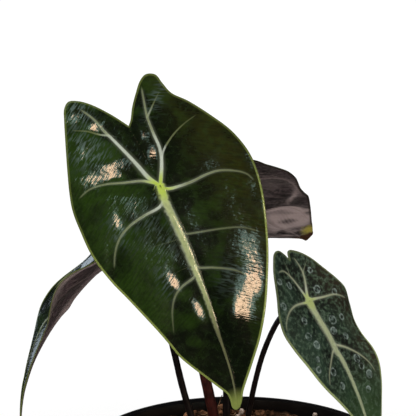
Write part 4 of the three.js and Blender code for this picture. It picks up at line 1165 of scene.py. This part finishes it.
class PLANT_OT_crown(bpy.types.Operator):
    """Build the crown that the petioles rise from"""

    bl_idname = "plant.crown"
    bl_label = "Crown"

    def execute(self, context):
        """A turned stump whose radius swells and shrinks with the angle, as overlapping papery sheaths do:
        each sheath is a saw tooth round the stump that climbs slowly with height."""
        stems = context.scene.plant_stems
        around, rings = 160, 46
        profile = smooth_curve(
            [(CROWN_RADIUS * 0.6, CROWN_BOTTOM), (CROWN_RADIUS * 0.95, CROWN_BOTTOM + 7),
             (CROWN_RADIUS, CROWN_BOTTOM + 14), (CROWN_RADIUS * 0.97, CROWN_TOP - 5),
             (CROWN_RADIUS * 0.74, CROWN_TOP - 1.6), (CROWN_RADIUS * 0.3, CROWN_TOP - 0.3)], rings)
        angle = np.linspace(0, 2 * math.pi, around, endpoint=False)
        height = profile[:, 1][:, None]
        teeth = ((angle[None] * 5 / (2 * math.pi) + height * 0.06) % 1.0) ** 3
        coarse = 0.25 * np.sin(angle[None] * 46 + height * 0.4)
        fine = 0.15 * np.sin(angle[None] * 79 - height * 0.7)
        radius = profile[:, 0][:, None] * (0.93 + 0.07 * teeth) + (coarse + fine) * 0.5
        x = CROWN_X + radius * np.cos(angle)
        y = radius * np.sin(angle)
        points = np.stack([x, y, np.broadcast_to(height, radius.shape)], -1)
        points = np.vstack([points.reshape(-1, 3), [CROWN_X, 0, CROWN_BOTTOM], [CROWN_X, 0, CROWN_TOP]])
        faces = tube_faces(rings, around)
        tone = np.concatenate([(0.25 + 0.75 * teeth).ravel(), [0.3, 0.3]])
        material = bark_material("papery leaf sheath", stems.sheath, linear("#22160f"), 1.5)
        piece = new_piece("crown_stump", points, faces, {"tone": tone}, (material,))
        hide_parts("crown")
        return {"FINISHED"}


class PLANT_OT_pot(bpy.types.Operator):
    """Build the nursery pot"""

    bl_idname = "plant.pot"
    bl_label = "Pot"

    def execute(self, context):
        """A wall turned about Z: the profile carried round the axis, with small round-overs at its corners
        and a step under the rim, and drain holes cut through the floor."""
        pot = context.scene.plant_pot
        body_top = POT_HEIGHT - POT_RIM_HEIGHT
        body_radius = POT_RIM_RADIUS - POT_RIM_OVERHANG
        inner_top = body_radius - POT_WALL
        inner_base = POT_BASE_RADIUS - POT_WALL
        foot_gap = 1.2
        profile = np.array([
            (0.001, foot_gap), (30, foot_gap), (36.2, foot_gap), (36.8, 0.9), (37, 0.3), (37.3, 0),
            (POT_BASE_RADIUS - 1.2, 0), (POT_BASE_RADIUS - 0.5, 0.2), (POT_BASE_RADIUS - 0.1, 0.8),
            (POT_BASE_RADIUS + 0.2, 1.6), (POT_BASE_RADIUS + 1.7, 10.2), (POT_BASE_RADIUS + 1.9, 10.6),
            (POT_BASE_RADIUS + 2.0, 11.2), (body_radius - 2.5, 82), (body_radius - 0.3, body_top - 0.9),
            (body_radius - 0.1, body_top - 0.3), (body_radius + 0.4, body_top),
            (POT_RIM_RADIUS - 0.6, body_top + 0.1), (POT_RIM_RADIUS - 0.15, body_top + 0.35),
            (POT_RIM_RADIUS, body_top + 0.9), (POT_RIM_RADIUS, POT_HEIGHT - 1.1),
            (POT_RIM_RADIUS - 0.1, POT_HEIGHT - 0.5), (POT_RIM_RADIUS - 0.45, POT_HEIGHT - 0.1),
            (POT_RIM_RADIUS - 0.9, POT_HEIGHT), (inner_top + 0.9, POT_HEIGHT),
            (inner_top + 0.35, POT_HEIGHT - 0.15), (inner_top, POT_HEIGHT - 0.7),
            (inner_top - 0.3, POT_HEIGHT - 3), (inner_base + 14, 84), (inner_base + 0.4, POT_FLOOR + 1.4),
            (inner_base - 0.4, POT_FLOOR + 0.3), (inner_base - 1.4, POT_FLOOR), (30, POT_FLOOR),
            (0.001, POT_FLOOR),
        ])
        around = 192
        angle = np.linspace(0, 2 * math.pi, around, endpoint=False)
        rings = len(profile)
        radius = profile[:, 0][:, None]
        height = np.broadcast_to(profile[:, 1][:, None], (rings, around))
        points = np.stack([radius * np.cos(angle), radius * np.sin(angle), height], -1).reshape(-1, 3)
        points = np.vstack([points, [0, 0, foot_gap], [0, 0, POT_FLOOR]])
        faces = tube_faces(rings, around)
        piece = new_piece("nursery_pot", points, faces, materials=(plastic_material(pot),))
        self.drill(piece)
        piece.data.set_sharp_from_angle(angle=math.radians(50))
        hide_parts("pot")
        return {"FINISHED"}

    def drill(self, piece):
        """Cuts the drain holes with upright prisms on a circle, which are removed afterwards."""
        around = 28
        past = 3.0
        angle = np.linspace(0, 2 * math.pi, around, endpoint=False)
        ring = np.stack([DRAIN_RADIUS * np.cos(angle), DRAIN_RADIUS * np.sin(angle)], -1)
        sides, first, last = tube_faces(2, around)
        points, quads, caps = [], [], []
        for hole in range(DRAIN_HOLES):
            turn = 2 * math.pi * hole / DRAIN_HOLES
            centre = DRAIN_CIRCLE * np.array([math.cos(turn), math.sin(turn)])
            start = hole * (2 * around + 2)
            low = np.column_stack([ring + centre, np.full(around, -past)])
            high = np.column_stack([ring + centre, np.full(around, POT_FLOOR + past)])
            points += [low, high, [[*centre, -past]], [[*centre, POT_FLOOR + past]]]
            quads.append(sides + start)
            caps += [first + start, last + start]
        tool = new_piece("drain_tool", np.vstack(points), [np.vstack(quads), np.vstack(caps)])
        cut = piece.modifiers.new("drain holes", "BOOLEAN")
        cut.object = tool
        cut.operation = "DIFFERENCE"
        cut.solver = "EXACT"
        evaluated = piece.evaluated_get(bpy.context.evaluated_depsgraph_get())
        drilled = bpy.data.meshes.new_from_object(evaluated)
        piece.modifiers.clear()
        old = piece.data
        piece.data = drilled
        bpy.data.meshes.remove(old)
        bpy.data.objects.remove(tool)
        drilled.name = piece.name


class PLANT_OT_potting_mix(bpy.types.Operator):
    """Build the potting mix: bed, bark chips, coir fibres and perlite"""

    bl_idname = "plant.potting_mix"
    bl_label = "Potting mix"

    def execute(self, context):
        pot = context.scene.plant_pot
        rng = np.random.default_rng(MIX_SEED)
        bed = self.bed(pot)
        chips = self.chips(pot, rng)
        fibres = self.fibres(pot, rng)
        grit = self.grit(pot, rng)
        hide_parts("potting_mix")
        return {"FINISHED"}

    def level(self, x, y):
        """Height of the bed: its level, long waves and crumbs, and a dip round the crown."""
        place = np.stack([x, y], -1)
        dip = 1.4 * np.exp(-((np.hypot(x - CROWN_X, y) / 17) ** 2))
        lumps = 0.8 * gentle_waves(place, [29, 19, 15], 3) + 0.9 * gentle_waves(place, [7, 5.2, 4.1, 3.3], 4)
        crumbs = 0.7 * gentle_waves(place, [2.3, 1.9, 1.6, 1.3], 5)
        bank = 2.4 * smooth_step(34, 50, y)
        return SOIL_LEVEL - 0.6 + lumps + crumbs + bank - dip

    def inner_radius(self, z):
        """Inside radius of the pot's wall at a height, which widens evenly."""
        low = POT_BASE_RADIUS - POT_WALL
        high = POT_RIM_RADIUS - POT_RIM_OVERHANG - POT_WALL
        return low + (high - low) * (z - POT_FLOOR) / (POT_HEIGHT - POT_FLOOR)

    def bed(self, pot):
        """A closed plug: rings of the bumpy top, then the wall and the bottom."""
        around, top_rings = 300, 84
        bottom = POT_FLOOR + 0.3
        angle = np.linspace(0, 2 * math.pi, around, endpoint=False)
        top_radii = np.linspace(0.7, self.inner_radius(SOIL_LEVEL) - 1.0, top_rings)
        x = top_radii[:, None] * np.cos(angle)
        y = top_radii[:, None] * np.sin(angle)
        top = np.stack([x, y, self.level(x, y)], -1)
        sides = []
        for z in (SOIL_LEVEL - 2.0, 50.0, bottom):
            radius = self.inner_radius(z) - 0.4
            sides.append(np.stack([radius * np.cos(angle), radius * np.sin(angle), np.full(around, z)], -1))
        points = np.concatenate([top, np.array(sides)])
        rings = len(points)
        centre = [[0, 0, float(self.level(np.array(0.0), np.array(0.0)))], [0, 0, bottom]]
        vertices = np.vstack([points.reshape(-1, 3), centre])
        faces = tube_faces(rings, around)
        tone = 0.14 + 0.3 * gentle_waves(vertices[:, :2], [9, 5, 3.1], 8)
        material = bark_material("moist coir mix", pot.bark, pot.bark_dark, 1.2)
        return new_piece("mix_bed", vertices, faces, {"tone": tone}, (material,))

    def scatter(self, rng, count, clear, spread):
        """Seeded places on the bed, evenly over a disc of the radius spread, and clear of the crown."""
        radius = spread * np.sqrt(rng.uniform(0, 1, count * 3))
        angle = rng.uniform(0, 2 * math.pi, count * 3)
        x, y = radius * np.cos(angle), radius * np.sin(angle)
        kept = np.hypot(x - CROWN_X, y) > clear
        return x[kept][:count], y[kept][:count]

    def nuggets(self, rng, centres, sizes, rings, around, rough):
        """Closed rounded lumps: super-ellipsoids whose corners are pushed about by seeded amounts, each
        turned its own way. Returns all the vertices and faces together, and the vertices in each lump."""
        polar = np.linspace(0, math.pi, rings + 2)[1:-1]
        angle = np.linspace(0, 2 * math.pi, around, endpoint=False)

        def square(v):
            """Swells a sine or cosine towards -1 and 1, which squares the round."""
            return np.sign(v) * np.abs(v) ** 0.55

        unit = np.stack([
            square(np.sin(polar))[:, None] * square(np.cos(angle)),
            square(np.sin(polar))[:, None] * square(np.sin(angle)),
            np.broadcast_to(square(np.cos(polar))[:, None], (rings, around)),
        ], -1).reshape(-1, 3)
        unit = np.vstack([unit, [0, 0, 1], [0, 0, -1]])
        count = len(centres)
        jitter = 1 + rough * rng.uniform(-1, 1, (count, len(unit), 3))
        shapes = unit[None] * jitter * sizes[:, None] / 2
        yaw = rng.uniform(0, 2 * math.pi, count)
        pitch = rng.normal(0, 0.32, count)
        rollby = rng.normal(0, 0.32, count)
        for axis, turn in ((0, rollby), (1, pitch), (2, yaw)):
            a, b = [k for k in range(3) if k != axis]
            cos, sin = np.cos(turn)[:, None], np.sin(turn)[:, None]
            first = shapes[..., a] * cos - shapes[..., b] * sin
            second = shapes[..., a] * sin + shapes[..., b] * cos
            shapes[..., a] = first
            shapes[..., b] = second
        vertices = (shapes + centres[:, None]).reshape(-1, 3)
        return vertices, self.many_tubes(rings, around, count), len(unit)

    def many_tubes(self, rings, around, count):
        """Faces of equal closed tubes whose vertices follow each other."""
        starts = (np.arange(count) * (rings * around + 2))[:, None, None]
        return [(faces + starts).reshape(-1, faces.shape[1]) for faces in tube_faces(rings, around)]

    def chips(self, pot, rng):
        """Flat angular bark chips, mostly small, half sunk in the bed."""
        longest = pot.chip_length / MM
        shortest = 2.6
        x, y = self.scatter(rng, pot.chips, clear=CROWN_RADIUS + 2.0, spread=53.5)
        count = len(x)
        length = shortest + (longest - shortest) * rng.uniform(0, 1, count) ** 2.4
        room = self.inner_radius(SOIL_LEVEL) - np.hypot(x, y) - 0.8
        length = np.minimum(length * (1 + 0.5 * smooth_step(38, 50, y)), np.maximum(2.4, 1.7 * room))
        sizes = np.stack(
            [length, length * rng.uniform(0.4, 0.8, count), length * rng.uniform(0.22, 0.5, count)], -1
        )
        lift = rng.uniform(-0.1, 0.45, count) * sizes[:, 2] + 0.3
        centres = np.stack([x, y, self.level(x, y) + lift], -1)
        vertices, faces, size = self.nuggets(rng, centres, sizes, rings=4, around=8, rough=0.2)
        tone = np.repeat(np.clip(rng.beta(0.42, 0.66, count) + 0.1 * smooth_step(38, 50, y), 0, 1), size)
        material = bark_material("composted bark", pot.bark, pot.bark_dark, 1.4)
        return new_piece("bark_chips", vertices, faces, {"tone": tone}, (material,), flat=True)

    def fibres(self, pot, rng):
        """Thin curved coir fibres that lie over the chips: square tubes along seeded arcs. The last one is
        the long pale fibre that stands up by the rim."""
        x, y = self.scatter(rng, pot.fibres, clear=CROWN_RADIUS + 1.0, spread=50)
        count = len(x)
        steps = 9
        widest = 54.0
        share = np.linspace(-0.5, 0.5, steps)
        length = rng.uniform(3, 13, count)[:, None]
        heading = rng.uniform(0, 2 * math.pi, count)[:, None] + rng.normal(0, 1.4, count)[:, None] * share
        path_x = x[:, None] + length * share * np.cos(heading)
        path_y = y[:, None] + length * share * np.sin(heading)
        arch = rng.uniform(0.2, 2.4, count)[:, None] * (1 - (2 * share) ** 2)
        arch = arch * rng.uniform(0.3, 1, count)[:, None]
        far = np.hypot(path_x, path_y)
        pull = np.minimum(1, widest / np.maximum(far, 1e-6))
        path_x, path_y = path_x * pull, path_y * pull
        path = np.stack([path_x, path_y, self.level(path_x, path_y) + 0.7 + arch], -1)
        stray = smooth_curve(
            [(-7.9, 50, 99.5), (-7.5, 51.4, 102.9), (-6.6, 52.8, 105.2), (-5.7, 53.8, 107.6)], steps
        )
        path = np.concatenate([path, stray[None]])
        count += 1
        radius = rng.uniform(0.1, 0.24, count)[:, None] * (1 - 0.7 * (2 * share) ** 4)
        radius[-1] = 0.2
        tangent = np.gradient(path, axis=1)
        tangent /= np.linalg.norm(tangent, axis=2, keepdims=True)
        side = np.cross(tangent, [0.0, 0.0, 1.0] + np.zeros_like(tangent))
        side /= np.maximum(np.linalg.norm(side, axis=2, keepdims=True), 1e-6)
        lift = np.cross(side, tangent)
        around = 5
        angle = np.linspace(0, 2 * math.pi, around, endpoint=False)
        cos, sin = np.cos(angle)[None, None, :, None], np.sin(angle)[None, None, :, None]
        ring = cos * side[:, :, None] + sin * lift[:, :, None]
        tube = path[:, :, None] + ring * radius[:, :, None, None]
        body = tube.reshape(count, -1, 3)
        vertices = np.concatenate([body, path[:, :1], path[:, -1:]], axis=1)
        faces = self.many_tubes(steps, around, count)
        tone = np.repeat(np.append(rng.uniform(0, 1, count - 1), 1.0), vertices.shape[1])
        material = bark_material("dry coir fibre", pot.coir, linear("#3a271b"), 2.5)
        return new_piece("coir_fibres", vertices.reshape(-1, 3), faces, {"tone": tone}, (material,))

    def grit(self, pot, rng):
        """Perlite grains, two of which lie at the back where the rim leaves them in view."""
        x, y = self.scatter(rng, pot.grit, clear=CROWN_RADIUS + 1.0, spread=51)
        x = np.append(x, [1.8, 31.0])
        y = np.append(y, [46.2, 43.8])
        count = len(x)
        length = rng.uniform(1.1, 2.8, count)
        sizes = np.stack([length, length * 0.8, length * 0.75], -1)
        sizes[-2:] = [(2.0, 1.8, 3.2), (1.8, 1.6, 1.7)]
        centres = np.stack([x, y, self.level(x, y) + 0.9], -1)
        centres[-2:, 2] = (103.0, 102.9)
        vertices, faces, _ = self.nuggets(rng, centres, sizes, rings=6, around=9, rough=0.2)
        return new_piece("perlite_grains", vertices, faces, materials=(grit_material(pot),), flat=True)


class PLANT_OT_stage(bpy.types.Operator):
    """Build the floor, the lamps and the camera"""

    bl_idname = "plant.stage"
    bl_label = "Stage"

    def execute(self, context):
        stage = context.scene.plant_stage
        self.floor(stage)
        self.world(context)
        centre = Vector((-0.02, -0.03, 0.2))
        # Broad soft lamps that light the plant without showing in its gloss.
        self.lamp("top softbox", (-0.35, -0.35, 1.5), centre, 1.1, 1.1, 24, (1, 1, 1), glossy=False)
        self.lamp("front softbox", (0.2, -1.6, 0.75), centre, 0.9, 0.7, 8, (1, 0.99, 0.97), glossy=False)
        self.lamp("back softbox", (0.3, 1.2, 0.9), centre, 0.9, 0.7, 6.5, (1, 1, 1), glossy=False)
        # The window that the gloss mirrors: cool sky with a warm sunlit wall on its right.
        sky = self.bearing(centre, 21.5, 32, 1.2)
        wall = self.bearing(centre, 33.5, 25, 1.2)
        self.lamp("window", sky, centre, 0.23, 0.66, 2.6, stage.window, diffuse=False)
        self.lamp("sunlit wall", wall, centre, 0.27, 0.47, 9.0, stage.sunlit, diffuse=False)
        # A cool opening behind the plant that only the left leaf's raised half mirrors.
        opening = self.bearing(centre, -148, -4.5, 1.2)
        self.lamp("rear opening", opening, centre, 0.58, 0.27, 0.7, (0.75, 0.88, 1), diffuse=False)
        self.camera(context)
        return {"FINISHED"}

    def bearing(self, centre, right, above, distance):
        """A place at some degrees right of the front and above level, as seen from the centre."""
        right, above = math.radians(right), math.radians(above)
        way = (math.sin(right) * math.cos(above), -math.cos(right) * math.cos(above), math.sin(above))
        return centre + Vector(way) * distance

    def floor(self, stage):
        """A flat disc of matt white paper that pales to plain white towards its edge."""
        around = 96
        radii = np.array([0.05, 0.2, 0.4, 0.6, 0.8, 1.0]) * stage.floor_radius / MM
        angle = np.linspace(0, 2 * math.pi, around, endpoint=False)
        x = radii[:, None] * np.cos(angle)
        y = radii[:, None] * np.sin(angle)
        points = np.vstack([np.stack([x, y, np.zeros_like(x)], -1).reshape(-1, 3), [[0, 0, 0]]])
        faces = [ring_faces(len(radii), around)[:, ::-1], fan_faces(len(radii) * around, 0, around, False)]
        material, tree = blank_material("matt white paper")
        place = add(tree, "TexCoord", output="Object")
        distance = add(tree, "VectorMath", place, operation="LENGTH")
        outwards = add(tree, "MapRange", distance, 0.16, 0.42, 0.0, 1.0, **SMOOTH)
        paper = add(tree, "BsdfPrincipled", inputs={"Base Color": stage.paper, "Roughness": 0.9})
        glow = add(tree, "Emission", inputs={"Color": (1, 1, 1), "Strength": 1.05})
        both = add(tree, "MixShader", outwards, paper, glow)
        add(tree, "OutputMaterial", inputs={"Surface": both})
        mesh = bpy.data.meshes.new("paper_floor")
        mesh.from_pydata((points * MM).tolist(), [], [f.tolist() for group in faces for f in group])
        mesh.materials.append(material)
        floor = bpy.data.objects.new("paper_floor", mesh)
        bpy.context.scene.collection.objects.link(floor)
        floor.visible_glossy = False

    def world(self, context):
        """White behind everything, and a dim grey room in reflections and shade."""
        world = bpy.data.worlds.new("white studio")
        world.use_nodes = True
        tree = world.node_tree
        tree.nodes.clear()
        seen = add(tree, "LightPath")
        room = add(tree, "Background", inputs={"Color": (0.85, 0.95, 1.0), "Strength": 0.012})
        white = add(tree, "Background", inputs={"Color": (1, 1, 1), "Strength": 1.05})
        both = add(tree, "MixShader", seen, room, white)
        add(tree, "OutputWorld", inputs={"Surface": both})
        context.scene.world = world
        context.scene.view_settings.view_transform = "Standard"
        context.scene.view_settings.look = "None"

    def lamp(self, name, place, target, width, height, power, tint, glossy=True, diffuse=True):
        """A rectangular area lamp that faces the target."""
        light = bpy.data.lights.new(name, "AREA")
        light.shape = "RECTANGLE"
        light.size = width
        light.size_y = height
        light.energy = power
        light.color = tint
        lamp = bpy.data.objects.new(name, light)
        lamp.location = place
        lamp.rotation_euler = (Vector(target) - Vector(place)).to_track_quat("-Z", "Y").to_euler()
        lamp.visible_glossy = glossy
        lamp.visible_diffuse = diffuse
        lamp.visible_camera = False
        bpy.context.scene.collection.objects.link(lamp)

    def camera(self, context):
        """Looks down at the photograph's angle from its distance."""
        data = bpy.data.cameras.new("camera")
        data.lens = LENS
        data.sensor_width = SENSOR
        data.clip_end = 100
        camera = bpy.data.objects.new("camera", data)
        back = Vector((0, -math.cos(VIEW_DOWN), math.sin(VIEW_DOWN))) * VIEW_DISTANCE
        camera.location = (Vector(VIEW_TARGET) + back) * MM
        camera.rotation_euler = (math.pi / 2 - VIEW_DOWN, 0, 0)
        context.scene.collection.objects.link(camera)
        context.scene.camera = camera


class PLANT_PT_panel(bpy.types.Panel):
    """Lists the pieces of the plant and their settings"""

    bl_idname = "PLANT_PT_panel"
    bl_label = "Potted alocasia"
    bl_space_type = "VIEW_3D"
    bl_region_type = "UI"
    bl_category = "Plant"

    def draw(self, context):
        for kind in OPERATORS:
            self.layout.operator(kind.bl_idname)
        for group in SETTINGS:
            settings = getattr(context.scene, group)
            for key in settings.__annotations__:
                self.layout.prop(settings, key)


SETTINGS = {
    "plant_leaves": LeafSettings,
    "plant_stems": StemSettings,
    "plant_pot": PotSettings,
    "plant_stage": StageSettings,
}
OPERATORS = (
    PLANT_OT_pot,
    PLANT_OT_potting_mix,
    PLANT_OT_crown,
    PLANT_OT_petioles,
    PLANT_OT_leaf_blades,
    PLANT_OT_stage,
)


def register():
    for kind in (*SETTINGS.values(), *OPERATORS, PLANT_PT_panel):
        bpy.utils.register_class(kind)
    for name, kind in SETTINGS.items():
        setattr(bpy.types.Scene, name, PointerProperty(type=kind))


def unregister():
    for name in SETTINGS:
        delattr(bpy.types.Scene, name)
    for kind in (PLANT_PT_panel, *reversed(OPERATORS), *reversed(SETTINGS.values())):
        bpy.utils.unregister_class(kind)


def main():
    """Registers the classes and builds every piece and the stage."""
    register()
    bpy.ops.plant.pot()
    bpy.ops.plant.potting_mix()
    bpy.ops.plant.crown()
    bpy.ops.plant.petioles()
    bpy.ops.plant.leaf_blades()
    bpy.ops.plant.stage()
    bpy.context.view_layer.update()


if __name__ == "__main__":
    main()
